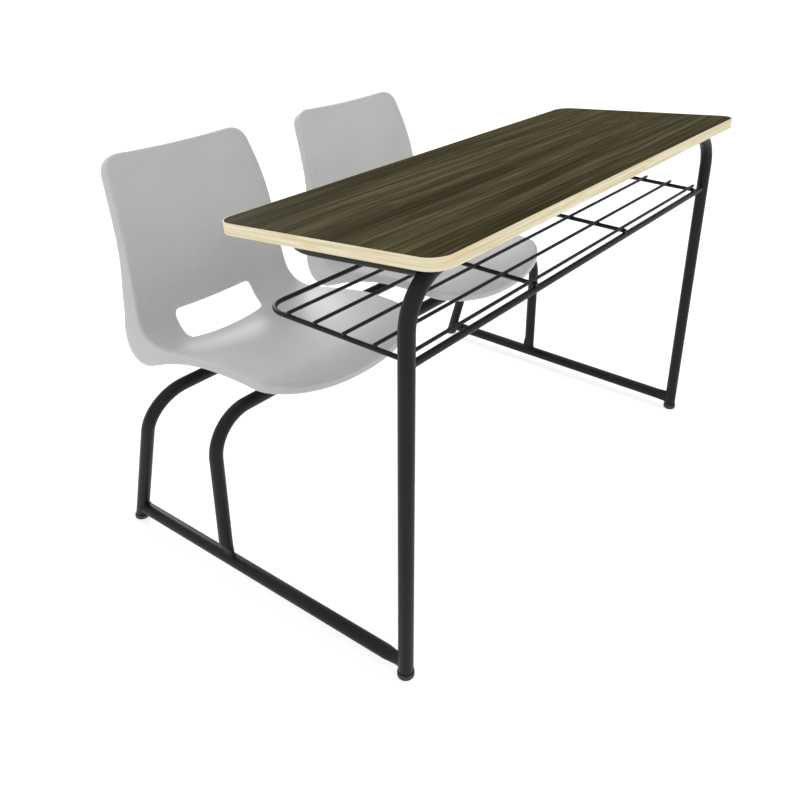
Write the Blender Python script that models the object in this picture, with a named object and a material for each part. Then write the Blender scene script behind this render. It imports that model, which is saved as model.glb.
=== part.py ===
"""Double school desk: a tilted laminate desktop with a wire book rack and two
moulded seats, all carried by one welded frame of round steel tube.

Metres, +Z up.  X runs along the desk, the seats are on the +Y side and the
free front edge of the desktop is on the -Y side.  The object stands on z = 0.
"""
import math

import bpy
import numpy as np
from mathutils import Vector, geometry

for ob in list(bpy.data.objects):
    bpy.data.objects.remove(ob, do_unlink=True)

# ---------------------------------------------------------------- dimensions
GAP = 0.0003            # clearance left between pieces that touch
SADDLE = 0.0005         # the same where one tube is shaped to another
Y_MID = 0.39159         # moves the depth range of the desk onto y = 0

TOP_Z = 0.750           # top face at the front long edge
TOP_L = 1.080           # desktop length
TOP_W = 0.431           # desktop depth, along its slope
TOP_T = 0.0190          # desktop thickness
TOP_Y = -0.0517         # front long edge
TILT = math.radians(5.74)   # falls towards the seats
TOP_R = 0.034           # desktop corner radius
BAND_T = 0.0012         # edge band thickness
SKIN_T = 0.0010         # laminate sheet thickness

WALL = 0.0012           # tube wall
LEG_R = 0.0128          # front frame tube
TUBE_R = 0.0125         # other tubes
LEG_X = 0.540           # front legs
LEG_BEND = 0.0817       # front frame bend radius, on the centre line

HOOP_X = 0.498          # arms of the top hoop
HOOP_Y = 0.280          # rear run of the top hoop
HOOP_BEND = 0.070

RAIL_X = 0.540
RAIL_Z = 0.0280

SEAT_BEND = 0.0787      # bend radius of both seat tubes
FRONT_FOOT_Y = 0.4225   # front seat tube, its foot on the rail
FRONT_LEAN = 0.0095
FRONT_X = 0.5455
FRONT_RISE = 0.2520     # straight length below the bend
REAR_FOOT_Y = 0.6882    # rear seat tube, where its axis meets the floor
REAR_LEAN = -0.2719
REAR_X = 0.5421
REAR_RISE = 0.2403

CAP_R = 0.0145          # foot caps
CAP_H = 0.0118           # outside height, just under the foot rail
CAP_FLOOR = 0.0045

STRETCH_Y = -0.0014
STRETCH_Z = 0.5804
STRETCH_R = 0.0060
ROD_R = 0.0040          # rack rim and cross rods
WIRE_R = 0.0030         # rack wires
RIM_Y = 0.2758
RIM_BEND = 0.036
RIM_X0 = -0.540
RIM_X1 = 0.4765
CROSS_X = (-0.2005, 0.1335)
WIRE_Y = (0.2229, 0.1690, 0.1122, 0.0549, 0.0014)
WIRE_END = 0.4835

SEATS = (("left", -0.2548), ("right", 0.2595))   # where the seats are centred in x
SHELL_T = 0.0045
FOLD_R = 0.0080         # rounding between the face of the shell and its rim
FLARE = 4.0             # the rim opens by this many degrees
SLOT_HALF = 0.1020
SLOT_LOW = 0.4115       # slot, measured along the profile from the front edge
SLOT_HIGH = 0.455
SLOT_R = 0.011
SLOT_SAG = 0.002
BOSS_X = 0.085
BOSS_R = 0.011
BOSS_AT = (0.034, 0.146)    # from the front seat tube, along the straps
STRAP_T = 0.003
STRAP_W = 0.026
SCREW_R = 0.0022
PILOT_R = 0.0026

# profile of the shell's long edge (y, z), front lip to top of the back
SHELL_EDGE = ((0.2935, 0.3785), (0.345, 0.3812), (0.400, 0.3850), (0.455, 0.3878), (0.510, 0.3852),
              (0.592, 0.3722), (0.680, 0.3588), (0.7270, 0.3795), (0.7440, 0.4350),
              (0.7608, 0.5416), (0.7838, 0.6214), (0.8189, 0.7069))
# along the profile: half width, hollow of the middle, depth of the rim
SHELL_WIDTH = ((0.0, 0.2060), (0.12, 0.2062), (0.20, 0.2068), (0.30, 0.2045),
               (0.40, 0.2010), (0.45, 0.1992), (0.51, 0.1949), (0.61, 0.1894),
               (0.68, 0.1846), (0.73, 0.1777), (0.79, 0.1684))
SHELL_HOLLOW = ((0.0, 0.0), (0.05, 0.003), (0.10, 0.010), (0.17, 0.019), (0.25, 0.026),
                (0.33, 0.033), (0.38, 0.039), (0.415, 0.047), (0.435, 0.037),
                (0.457, 0.025), (0.50, 0.020), (0.60, 0.014), (0.79, 0.008))
SHELL_RIM = ((0.0, 0.0152), (0.05, 0.0157), (0.075, 0.0168), (0.10, 0.0197), (0.145, 0.0200),
             (0.20, 0.0203), (0.26, 0.0174), (0.32, 0.0208), (0.353, 0.0249), (0.373, 0.0283),
             (0.396, 0.0372), (0.411, 0.0584), (0.4266, 0.0860), (0.442, 0.0614), (0.457, 0.0340),
             (0.4725, 0.0393), (0.488, 0.0366), (0.503, 0.0338), (0.534, 0.0288), (0.564, 0.0245),
             (0.60, 0.0226), (0.66, 0.0207), (0.70, 0.0208), (0.745, 0.0225), (0.775, 0.0180),
             (0.79, 0.0140))
TOP_DIP = 0.0045        # the top edge sags this much in the middle
TOP_RIM = 0.012
TOP_CORNER = 0.036
NOSE = 0.108            # where the rounded front meets the straight sides
FRONT_S = 0.0295        # the front edge, measured along the profile
FALL_S = 0.107          # the front rolls down from here
FALL = 0.0260           # by this much at the edge

# colour, roughness, metallic
PAINT = ((0.032, 0.033, 0.035), 0.42, 0.0)
STEEL = ((0.55, 0.56, 0.57), 0.35, 1.0)
PLASTIC = ((0.47, 0.47, 0.48), 0.48, 0.0)
RUBBER = ((0.020, 0.020, 0.021), 0.60, 0.0)
WALNUT = ((0.085, 0.068, 0.043), 0.50, 0.0)
MAPLE = ((0.80, 0.72, 0.52), 0.50, 0.0)
BOARD = ((0.50, 0.38, 0.24), 0.80, 0.0)
BACKER = ((0.62, 0.60, 0.56), 0.60, 0.0)


# ------------------------------------------------------------------- helpers
def material(name, look):
    mat = bpy.data.materials.new(name)
    mat.use_nodes = True
    bsdf = next(n for n in mat.node_tree.nodes if n.type == "BSDF_PRINCIPLED")
    bsdf.inputs["Base Color"].default_value = (*look[0], 1.0)
    bsdf.inputs["Roughness"].default_value = look[1]
    bsdf.inputs["Metallic"].default_value = look[2]
    mat.diffuse_color = (*look[0], 1.0)
    return mat


def make(name, verts, faces, look, smooth=False):
    import bmesh
    mesh = bpy.data.meshes.new(name)
    pts = [(float(p[0]), float(p[1]) - Y_MID, float(p[2])) for p in verts]
    mesh.from_pydata(pts, [], [tuple(int(i) for i in f) for f in faces])
    bm = bmesh.new()
    bm.from_mesh(mesh)
    bmesh.ops.recalc_face_normals(bm, faces=bm.faces)
    if bm.calc_volume(signed=True) < 0:
        bmesh.ops.reverse_faces(bm, faces=bm.faces)
    bm.to_mesh(mesh)
    bm.free()
    if smooth:
        mesh.shade_smooth()
        mesh.set_sharp_from_angle(angle=math.radians(50))
    obj = bpy.data.objects.new(name, mesh)
    bpy.context.scene.collection.objects.link(obj)
    mesh.materials.append(material(name, look))
    return obj


def unit(v):
    v = np.asarray(v, float)
    return v / np.linalg.norm(v)


def far_from(points):
    """Distance to a polyline, as a function of a point."""
    pts = np.asarray(points, float)
    a, d = pts[:-1], pts[1:] - pts[:-1]
    dd = (d ** 2).sum(1)

    def dist(p):
        t = np.clip(((p - a) * d).sum(1) / dd, 0.0, 1.0)
        return float(np.sqrt((((a + d * t[:, None]) - p) ** 2).sum(1)).min())
    return dist


def ring(c, e1, e2, a, b, sides):
    ang = np.arange(sides) * (2 * math.pi / sides)
    return (np.asarray(c, float) + a * np.cos(ang)[:, None] * np.asarray(e1, float)
            + b * np.sin(ang)[:, None] * np.asarray(e2, float))


def trim(points, way, dist, clear, reach, short=0.0055):
    """Slides ring points along way until they stand clear of another tube,
    never further than just short of its middle."""
    out = []
    for p in points:
        ts = np.linspace(-reach, reach, 61)
        ds = [dist(p + way * t) for t in ts]
        k = int(np.argmin(ds))
        lo, hi = -reach, ts[k]
        if ds[k] > clear:
            lo = hi
        for _ in range(40):
            mid = 0.5 * (lo + hi)
            if dist(p + way * mid) > clear:
                lo = mid
            else:
                hi = mid
        out.append(p + way * min(lo, ts[k] - short))
    return np.array(out)


def skin(rings, close0=True, close1=True):
    """Quads over a list of rings, with fan caps where wanted."""
    n = len(rings[0])
    verts = [p for r in rings for p in r]
    faces = []
    for k in range(len(rings) - 1):
        for i in range(n):
            j = (i + 1) % n
            faces.append((k * n + i, k * n + j, (k + 1) * n + j, (k + 1) * n + i))
    if close0:
        faces.append(tuple(range(n))[::-1])
    if close1:
        faces.append(tuple((len(rings) - 1) * n + i for i in range(n)))
    return verts, faces


def rod(name, rings, look=PAINT, stop0=None, stop1=None):
    """Solid bar.  A stop (way, distance function, clearance) shapes that end
    to the tube it meets, cap and all."""
    rings = list(rings)
    tips = {}
    for end, stop in ((0, stop0), (-1, stop1)):
        if stop is None:
            continue
        way, dist, clear = stop
        r = rings[end]
        c = r.mean(axis=0)
        half = trim(c + (r - c) * 0.55, way, dist, clear, 0.015)
        tips[end] = trim([c], way, dist, clear, 0.015)[0]
        rings[end] = trim(r, way, dist, clear, 0.015)
        if end == 0:
            rings.insert(0, half)
        else:
            rings.append(half)
    verts, faces = skin(rings, 0 not in tips, -1 not in tips)
    n = len(rings[0])
    if 0 in tips:
        verts.append(tips[0])
        faces.extend(((i + 1) % n, i, len(verts) - 1) for i in range(n))
    if -1 in tips:
        last = (len(rings) - 1) * n
        verts.append(tips[-1])
        faces.extend((last + i, last + (i + 1) % n, len(verts) - 1) for i in range(n))
    return make(name, verts, faces, look, smooth=True)


def pipe(name, outer, inner, look=PAINT):
    """Open ended tube from matching outer and inner rings."""
    n = len(outer[0])
    v1, f1 = skin(outer, False, False)
    v2, f2 = skin(inner, False, False)
    off = len(v1)
    faces = f1 + [tuple(off + i for i in f)[::-1] for f in f2]
    last = (len(outer) - 1) * n
    for i in range(n):
        j = (i + 1) % n
        faces.append((i, off + i, off + j, j))
        faces.append((last + i, last + j, off + last + j, off + last + i))
    return make(name, v1 + v2, faces, look, smooth=True)


def turned(name, profile, base, axis, look, segs=14, stretch=None):
    """Revolves (radius, height) points about an axis; radius 0 closes a pole.
    With a stretch the sections stay level and grow along Y by that factor."""
    axis = np.asarray(axis, float)
    e1 = EX
    e2 = unit(np.cross(axis, e1)) if stretch is None else np.array([0.0, stretch, 0.0])
    verts, faces, rows = [], [], []
    for r, h in profile:
        c = np.asarray(base, float) + axis * h
        if r <= 0:
            rows.append([len(verts)])
            verts.append(c)
        else:
            rows.append(list(range(len(verts), len(verts) + segs)))
            verts.extend(ring(c, e1, e2, r, r, segs))
    for a, b in zip(rows[:-1], rows[1:]):
        for i in range(segs):
            j = (i + 1) % segs
            if len(a) == 1 and len(b) == 1:
                continue
            if len(a) == 1:
                faces.append((a[0], b[i], b[j]))
            elif len(b) == 1:
                faces.append((a[i], b[0], a[j]))
            else:
                faces.append((a[i], b[i], b[j], a[j]))
    return make(name, verts, faces, look, smooth=True)


def inside(p, loop):
    x, y = p
    hit = False
    n = len(loop)
    for i in range(n):
        x1, y1 = loop[i]
        x2, y2 = loop[(i + 1) % n]
        if (y1 > y) != (y2 > y) and x < (x2 - x1) * (y - y1) / (y2 - y1) + x1:
            hit = not hit
    return hit


def mesh_flat(outer, holes, extra=()):
    """Triangles over a flat outline with holes.  Returns points, triangles and
    the index of every loop point, outer loop first."""
    pts, edges, loops = [], [], []
    for loop in [outer] + list(holes):
        first = len(pts)
        pts.extend((float(a), float(b)) for a, b in loop)
        n = len(loop)
        edges.extend((first + i, first + (i + 1) % n) for i in range(n))
        loops.append(list(range(first, first + n)))
    pts.extend((float(a), float(b)) for a, b in extra)
    got = geometry.delaunay_2d_cdt([Vector(p) for p in pts], edges, [], 0, 1e-7)
    new, tris, origin = got[0], got[2], got[3]
    back = {}
    for i, src in enumerate(origin):
        for s in src:
            back[s] = i
    flat = [(v[0], v[1]) for v in new]
    keep = []
    for t in tris:
        c = (sum(flat[i][0] for i in t) / 3, sum(flat[i][1] for i in t) / 3)
        if inside(c, outer) and not any(inside(c, h) for h in holes):
            keep.append(tuple(t))
    return flat, keep, [[back[i] for i in loop] for loop in loops]


def band(a, b):
    n = len(a)
    return [(a[i], a[(i + 1) % n], b[(i + 1) % n], b[i]) for i in range(n)]


def plate(name, place, outer, top, low, look, through=(), blind=(), depth=0.0):
    """Flat plate between heights top and low of a local frame.  Blind holes
    enter from below."""
    verts, faces = [], []

    def put(flat, h):
        first = len(verts)
        verts.extend(place(a, b, h) for a, b in flat)
        return first
    fa, ta, la = mesh_flat(outer, through)
    fb, tb, lb = mesh_flat(outer, list(through) + list(blind))
    a0 = put(fa, top)
    b0 = put(fb, low)
    faces += [tuple(a0 + i for i in t) for t in ta]
    faces += [tuple(b0 + i for i in t)[::-1] for t in tb]
    for k in range(1 + len(through)):
        faces += band([a0 + i for i in la[k]], [b0 + i for i in lb[k]])
    for k, loop in enumerate(blind):
        up = put(loop, low + depth)
        ids = [up + i for i in range(len(loop))]
        faces += band(ids, [b0 + i for i in lb[1 + len(through) + k]])
        faces.append(tuple(ids))
    return make(name, verts, faces, look)


def circle(cx, cy, r, n=12):
    return [(cx + r * math.cos(2 * math.pi * i / n), cy + r * math.sin(2 * math.pi * i / n))
            for i in range(n)]


def rounded(w, h, r, x0=0.0, y0=0.0, segs=6):
    """Rounded rectangle, w by h, its lower left corner at (x0, y0)."""
    out = []
    for cx, cy, a0 in ((w - r, r, -90), (w - r, h - r, 0), (r, h - r, 90), (r, r, 180)):
        for k in range(segs + 1):
            a = math.radians(a0 + 90 * k / segs)
            out.append((x0 + cx + r * math.cos(a), y0 + cy + r * math.sin(a)))
    return out


# ------------------------------------------------------------- desktop frame
EX = np.array([1.0, 0.0, 0.0])
DOWN_SLOPE = np.array([0.0, math.cos(TILT), -math.sin(TILT)])
TOP_N = np.array([0.0, math.sin(TILT), math.cos(TILT)])


def on_top(x, s, h):
    """x along the desk, s down the slope from the front edge, h above the face."""
    return np.array([x, TOP_Y, TOP_Z]) + DOWN_SLOPE * s + TOP_N * h


def s_at(y, h):
    return (y - TOP_Y - TOP_N[1] * h) / DOWN_SLOPE[1]


UNDER = -TOP_T - GAP
LEG_RUN_S = s_at(0.0, UNDER - LEG_R)
LEG_RUN = on_top(0.0, LEG_RUN_S, UNDER - LEG_R)
HOOP_S = s_at(HOOP_Y, UNDER - TUBE_R)
LEG_RISE = LEG_RUN[2] - LEG_BEND


# --------------------------------------------------------------- frame tubes
def u_path(x, y, lean, rise, bend, start, steps=6):
    """Centre points and directions of an upturned U, left foot to right foot."""
    up = unit((0.0, lean, 1.0))
    foot = np.array([-x, y, 0.0])
    pts, ways = [], []
    for s in start:
        pts.append(foot + up * s)
        ways.append(up)
    cen = foot + up * rise + EX * bend
    for k in range(steps + 1):
        a = math.radians(90.0 * k / steps)
        pts.append(cen - EX * bend * math.cos(a) + up * bend * math.sin(a))
        ways.append(EX * math.sin(a) + up * math.cos(a))
    mirror = np.array([-1.0, 1.0, 1.0])
    flip = np.array([1.0, -1.0, -1.0])
    pts += [p * mirror for p in pts[::-1]]
    ways += [w * flip for w in ways[::-1]]
    return pts, ways, unit(np.cross(EX, up))


def rings_on(pts, ways, normal, r, sides=14, shape=None):
    out = []
    for k, (p, w) in enumerate(zip(pts, ways)):
        a = b = r
        c = np.asarray(p, float)
        if shape is not None and shape(k) is not None:
            a, b, move = shape(k)
            c = c + move
        out.append(ring(c, normal, np.cross(w, normal), a, b, sides))
    return out


def cut_level(points, way, z):
    return np.array([p + way * ((z - p[2]) / way[2]) for p in points])


LEG_PTS, LEG_WAYS, LEG_NRM = u_path(LEG_X, 0.0, 0.0, LEG_RISE, LEG_BEND, (CAP_FLOOR + GAP,))
LEG_LINE = u_path(LEG_X, 0.0, 0.0, LEG_RISE, LEG_BEND, (0.0,), 40)[0]
leg_far = far_from(LEG_LINE)
pipe("front_frame", rings_on(LEG_PTS, LEG_WAYS, LEG_NRM, LEG_R),
     rings_on(LEG_PTS, LEG_WAYS, LEG_NRM, LEG_R - WALL))

REAR_PTS, REAR_WAYS, REAR_NRM = u_path(REAR_X, REAR_FOOT_Y, REAR_LEAN, REAR_RISE, SEAT_BEND, (0.006,))
REAR_LINE = u_path(REAR_X, REAR_FOOT_Y, REAR_LEAN, REAR_RISE, SEAT_BEND, (0.0,), 40)[0]
rear_far = far_from(REAR_LINE)
rear_sets = []
for r in (TUBE_R, TUBE_R - WALL):
    rs = rings_on(REAR_PTS, REAR_WAYS, REAR_NRM, r)
    rs[0] = cut_level(rs[0], REAR_WAYS[0], CAP_FLOOR + GAP)
    rs[-1] = cut_level(rs[-1], REAR_WAYS[-1], CAP_FLOOR + GAP)
    rear_sets.append(rs)
pipe("seat_tube_rear", *rear_sets)
REAR_RUN = np.array(REAR_PTS[8 - 1])

# the front seat tube stands on the foot rails, its ends pinched flat
rail_far = far_from([(-RAIL_X, -0.1, RAIL_Z), (-RAIL_X, 0.9, RAIL_Z)])
rail_far_right = far_from([(RAIL_X, -0.1, RAIL_Z), (RAIL_X, 0.9, RAIL_Z)])
FRONT_PTS, FRONT_WAYS, FRONT_NRM = u_path(
    FRONT_X, FRONT_FOOT_Y, FRONT_LEAN, FRONT_RISE, SEAT_BEND, (0.041, 0.052, 0.072))
front_sets = []
for r in (TUBE_R, TUBE_R - WALL):
    thin, wide = 0.0060 + (r - TUBE_R), 0.0158 + (r - TUBE_R)
    count = len(FRONT_PTS)

    def pinch(k, r=r, thin=thin, wide=wide, count=count):
        side = -1.0 if k < count / 2 else 1.0
        near = min(k, count - 1 - k)
        if near == 0:
            return wide, thin, EX * (-side * 0.0040)
        if near == 1:
            return 0.5 * (wide + r), 0.5 * (thin + r), EX * (-side * 0.0022)
        return None
    rs = rings_on(FRONT_PTS, FRONT_WAYS, FRONT_NRM, r, shape=pinch)
    rs[0] = trim(rs[0], -FRONT_WAYS[0], rail_far, TUBE_R + SADDLE, 0.012)
    rs[-1] = trim(rs[-1], FRONT_WAYS[-1], rail_far_right, TUBE_R + SADDLE, 0.012)
    front_sets.append(rs)
pipe("seat_tube_front", *front_sets)
FRONT_RUN = np.array(FRONT_PTS[3 + 6])

# foot rails: pinched flat against the front leg, saddled onto the rear leg
for side, tag in ((-1.0, "left"), (1.0, "right")):
    y1 = REAR_FOOT_Y + REAR_LEAN * RAIL_Z
    stations = ((LEG_R + 0.001, 1.0), (LEG_R + 0.010, 0.7), (LEG_R + 0.030, 0.0), (y1 - 0.02, 0.0))
    sets = []
    for r in (TUBE_R, TUBE_R - WALL):
        thin, tall = 0.0065 + (r - TUBE_R), 0.0152 + (r - TUBE_R)
        rs = []
        for y, p in stations:
            rs.append(ring((side * RAIL_X, y, RAIL_Z), EX, (0, 0, 1),
                           r + (thin - r) * p, r + (tall - r) * p, 14))
        rs[0] = trim(rs[0], np.array([0.0, -1.0, 0.0]), leg_far, LEG_R + SADDLE, 0.012)
        rs[-1] = trim(rs[-1], np.array([0.0, 1.0, 0.0]), rear_far, TUBE_R + SADDLE, 0.030)
        sets.append(rs)
    pipe("foot_rail_" + tag, *sets)

# top hoop: flat under the desktop, its arms saddled onto the front frame's bends
hoop_h = UNDER - TUBE_R
pts, ways = [], []
for k in range(8):
    if k == 0:
        pts.append(on_top(-HOOP_X, LEG_RUN_S + 0.02, hoop_h))
        ways.append(DOWN_SLOPE)
    else:
        a = math.radians(90.0 * (k - 1) / 6)
        cen = on_top(-HOOP_X + HOOP_BEND, HOOP_S - HOOP_BEND, hoop_h)
        pts.append(cen - EX * HOOP_BEND * math.cos(a) + DOWN_SLOPE * HOOP_BEND * math.sin(a))
        ways.append(DOWN_SLOPE * math.cos(a) + EX * math.sin(a))
mirror = np.array([-1.0, 1.0, 1.0])
pts += [p * mirror for p in pts[::-1]]
ways += [w * np.array([1.0, -1.0, -1.0]) for w in ways[::-1]]
sets = []
for r in (TUBE_R, TUBE_R - WALL):
    rs = rings_on(pts, ways, TOP_N, r)
    rs[0] = trim(rs[0], -ways[0], leg_far, LEG_R + SADDLE, 0.035)
    rs[-1] = trim(rs[-1], ways[-1], leg_far, LEG_R + SADDLE, 0.035)
    sets.append(rs)
pipe("top_hoop", *sets)

# foot caps
for tag, x, y, lean, r_in in (("front_left", -LEG_X, 0.0, 0.0, LEG_R), ("front_right", LEG_X, 0.0, 0.0, LEG_R),
                              ("rear_left", -REAR_X, REAR_FOOT_Y, REAR_LEAN, TUBE_R),
                              ("rear_right", REAR_X, REAR_FOOT_Y, REAR_LEAN, TUBE_R)):
    r_out = r_in + CAP_R - LEG_R
    inner = (r_in + GAP) / math.cos(math.pi / 14)
    profile = [(0, 0.0), (r_out - 0.0045, 0.0), (r_out - 0.0014, 0.0016), (r_out, 0.0050),
               (r_out, CAP_H - 0.0008), (r_out - 0.0006, CAP_H), (inner, CAP_H),
               (inner, CAP_FLOOR), (0, CAP_FLOOR)]
    turned("foot_cap_" + tag, profile, (x, y, 0.0), (0.0, lean, 1.0), RUBBER,
           stretch=math.hypot(1.0, lean))

# ---------------------------------------------------------------- book rack
ROD_Z = STRETCH_Z + STRETCH_R + GAP + ROD_R
WIRE_Z = ROD_Z + ROD_R + GAP + WIRE_R
Z3 = np.array([0.0, 0.0, 1.0])
Y3 = np.array([0.0, 1.0, 0.0])


def straight(name, a, b, r, sides, stop0=None, stop1=None, look=PAINT):
    """Round bar from a to b; stop = (distance function, clearance)."""
    a, b = np.asarray(a, float), np.asarray(b, float)
    w = unit(b - a)
    e1 = unit(np.cross(w, Z3))
    e2 = np.cross(w, e1)
    return rod(name, [ring(a, e1, e2, r, r, sides), ring(b, e1, e2, r, r, sides)], look,
               stop0 and (-w, *stop0), stop1 and (w, *stop1))


leg_stop = (leg_far, LEG_R + SADDLE)
straight("stretcher", (-LEG_X + LEG_R + 0.004, STRETCH_Y, STRETCH_Z),
         (LEG_X - LEG_R - 0.004, STRETCH_Y, STRETCH_Z), STRETCH_R, 12, leg_stop, leg_stop)

rim_pts = [np.array([RIM_X0, LEG_R + 0.003, ROD_Z])]
rim_ways = [Y3]
for k in range(6):
    a = math.radians(18.0 * k)
    rim_pts.append(np.array([RIM_X0 + RIM_BEND * (1 - math.cos(a)), RIM_Y - RIM_BEND * (1 - math.sin(a)), ROD_Z]))
    rim_ways.append(Y3 * math.cos(a) + EX * math.sin(a))
for k in range(6):
    a = math.radians(18.0 * k)
    rim_pts.append(np.array([RIM_X1 - RIM_BEND * (1 - math.sin(a)), RIM_Y - RIM_BEND * (1 - math.cos(a)), ROD_Z]))
    rim_ways.append(EX * math.cos(a) - Y3 * math.sin(a))
rim_pts.append(np.array([RIM_X1, STRETCH_Y - 0.004, ROD_Z]))
rim_ways.append(-Y3)
rim_rings = rings_on(rim_pts, rim_ways, Z3, ROD_R, 8)
rod("rack_rim", rim_rings, PAINT, (-Y3, *leg_stop))
rim_far = far_from(rim_pts)
for n, x in enumerate(CROSS_X):
    straight("rack_cross_rod_%d" % (n + 1), (x, STRETCH_Y - 0.004, ROD_Z),
             (x, RIM_Y - ROD_R - 0.003, ROD_Z), ROD_R, 8, None, (rim_far, ROD_R + SADDLE))
for n, y in enumerate(WIRE_Y):
    last = n == len(WIRE_Y) - 1
    x0 = -LEG_X + LEG_R + 0.003 if last else RIM_X0 - ROD_R
    straight("rack_wire_%d" % (n + 1), (x0, y, WIRE_Z), (WIRE_END, y, WIRE_Z), WIRE_R, 8,
             leg_stop if last else None)

# ------------------------------------------------------------------ desktop
tabs = []
for sx in (-1.0, 1.0):
    tabs.append((sx * 0.300, LEG_RUN_S, 0.0, 1.0))           # behind the front run
    tabs.append((sx * 0.300, HOOP_S, 0.0, -1.0))             # ahead of the rear run
    tabs.append((sx * HOOP_X, 0.5 * (LEG_RUN_S + HOOP_S) - 0.02, -sx, 0.0))   # inside the arms
TAB_T, TAB_REACH = 0.0025, 0.030
holes = []
for x, s, dx, ds in tabs:
    holes.append((x + dx * 0.0225, s + ds * 0.0225))


def screw_holes(r, n=10):
    return [circle(a, b, r, n) for a, b in holes]


def inset(d, segs=8):
    return rounded(TOP_L - 2 * d, TOP_W - 2 * d, TOP_R - d, -TOP_L / 2 + d, d, segs)


core_in = BAND_T + GAP
plate("desktop_laminate", on_top, inset(core_in), 0.0, -SKIN_T, WALNUT)
plate("desktop_core", on_top, inset(core_in), -SKIN_T - GAP, -TOP_T + SKIN_T + GAP, BOARD,
      blind=screw_holes(PILOT_R), depth=0.0115)
plate("desktop_backer", on_top, inset(core_in), -TOP_T + SKIN_T, -TOP_T, BACKER, through=screw_holes(PILOT_R))
# edge band: a closed loop of strip with eased edges
verts, faces = [], []
section = ((BAND_T, 0.0), (0.0005, 0.0), (0.0, -0.0005), (0.0, -TOP_T + 0.0005), (0.0005, -TOP_T), (BAND_T, -TOP_T))
loops = []
for d, h in section:
    loop = inset(d)
    loops.append([len(verts) + i for i in range(len(loop))])
    verts.extend(on_top(a, b, h) for a, b in loop)
for k in range(len(loops)):
    faces += band(loops[k], loops[(k + 1) % len(loops)])
make("desktop_edge_band", verts, faces, MAPLE, smooth=True)

for n, (x, s, dx, ds) in enumerate(tabs):
    # a small plate welded beside the tube, level with the tube's crown
    a0, a1 = 0.0098, 0.0098 + TAB_REACH - 0.006
    if dx:
        lo, hi = sorted((x + dx * a0, x + dx * a1))
        outline = rounded(hi - lo, 0.026, 0.004, lo, s - 0.013, 3)
    else:
        lo, hi = sorted((s + ds * a0, s + ds * a1))
        outline = rounded(0.026, hi - lo, 0.004, x - 0.013, lo, 3)
    hx, hs = holes[n]
    plate("desktop_tab_%d" % (n + 1), on_top, outline, UNDER, UNDER - TAB_T, PAINT,
          through=[circle(hx, hs, PILOT_R, 10)])
    seat_h = UNDER - TAB_T - GAP
    turned("desktop_screw_%d" % (n + 1),
           [(0, 0.0), (0.0035, 0.0), (0.0048, 0.0010), (0.0048, 0.0024), (SCREW_R, 0.0024),
            (SCREW_R, 0.0140), (0, 0.0155)],
           on_top(hx, hs, seat_h - 0.0024), TOP_N, STEEL, segs=8)

# ------------------------------------------------------------------- seats
STRAP_DIR = unit(REAR_RUN * (0, 1, 1) - FRONT_RUN * (0, 1, 1))
STRAP_N = np.array([0.0, -STRAP_DIR[2], STRAP_DIR[1]])
SPAN = float(np.linalg.norm(REAR_RUN * (0, 1, 1) - FRONT_RUN * (0, 1, 1)))
STRAP_AT = FRONT_RUN * (0, 1, 1) + STRAP_N * (TUBE_R + GAP)


def on_strap(x, t, h):
    """x across the desk, t along the strap from the front seat tube, h above its foot."""
    return STRAP_AT + EX * x + STRAP_DIR * t + STRAP_N * h


def smooth_curve(knots, n=600):
    """Catmull-Rom through the knots, then evenly spaced along its length."""
    p = np.asarray(knots, float)
    p = np.vstack([2 * p[0] - p[1], p, 2 * p[-1] - p[-2]])
    out = []
    for i in range(1, len(p) - 2):
        t = np.linspace(0, 1, 60, endpoint=False)[:, None]
        a, b, c, d = p[i - 1], p[i], p[i + 1], p[i + 2]
        out.append(0.5 * (2 * b + (c - a) * t + (2 * a - 5 * b + 4 * c - d) * t ** 2
                          + (3 * b - a - 3 * c + d) * t ** 3))
    out = np.vstack(out + [p[-2][None]])
    s = np.concatenate([[0], np.cumsum(np.linalg.norm(np.diff(out, axis=0), axis=1))])
    even = np.linspace(0, s[-1], n)
    return even, np.stack([np.interp(even, s, out[:, k]) for k in range(out.shape[1])], 1)


EDGE_S, EDGE_P = smooth_curve(SHELL_EDGE)
EDGE_LEN = float(EDGE_S[-1])
kernel = np.hanning(41) / np.hanning(41).sum()


def tangents(points):
    t = np.gradient(points, EDGE_S, axis=0)
    t = np.stack([np.convolve(np.pad(t[:, k], 20, mode="edge"), kernel, "valid") for k in range(2)], 1)
    return t / np.linalg.norm(t, axis=1)[:, None]


RIM_T = tangents(EDGE_P)                    # the rim hangs upright under the rolled front
EDGE_P[:, 1] -= FALL * np.maximum(0.0, (FALL_S - EDGE_S) / (FALL_S - FRONT_S)) ** 2
EDGE_T = tangents(EDGE_P)


def table(knots):
    k = np.asarray(knots, float)
    v = np.interp(EDGE_S, k[:, 0], k[:, 1])
    v = np.convolve(np.pad(v, 30, mode="edge"), np.hanning(61) / np.hanning(61).sum(), "valid")
    return lambda s: np.interp(s, EDGE_S, v)


half_width, hollow, rim_depth = table(SHELL_WIDTH), table(SHELL_HOLLOW), table(SHELL_RIM)


def face_point(x, s):
    """Point of the sitting face; x from the seat's middle, s along the profile."""
    y, z = np.interp(s, EDGE_S, EDGE_P[:, 0]), np.interp(s, EDGE_S, EDGE_P[:, 1])
    if s < 0:
        y, z = y + s * EDGE_T[0, 0], z + s * EDGE_T[0, 1]
    if s > EDGE_LEN:
        y, z = y + (s - EDGE_LEN) * EDGE_T[-1, 0], z + (s - EDGE_LEN) * EDGE_T[-1, 1]
    ty, tz = np.interp(s, EDGE_S, EDGE_T[:, 0]), np.interp(s, EDGE_S, EDGE_T[:, 1])
    q = math.hypot(ty, tz)
    deep = hollow(s) * (1.0 - min(1.0, abs(x) / half_width(s)) ** 2.2)
    return np.array([x, y + deep * tz / q, z - deep * ty / q])


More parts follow.
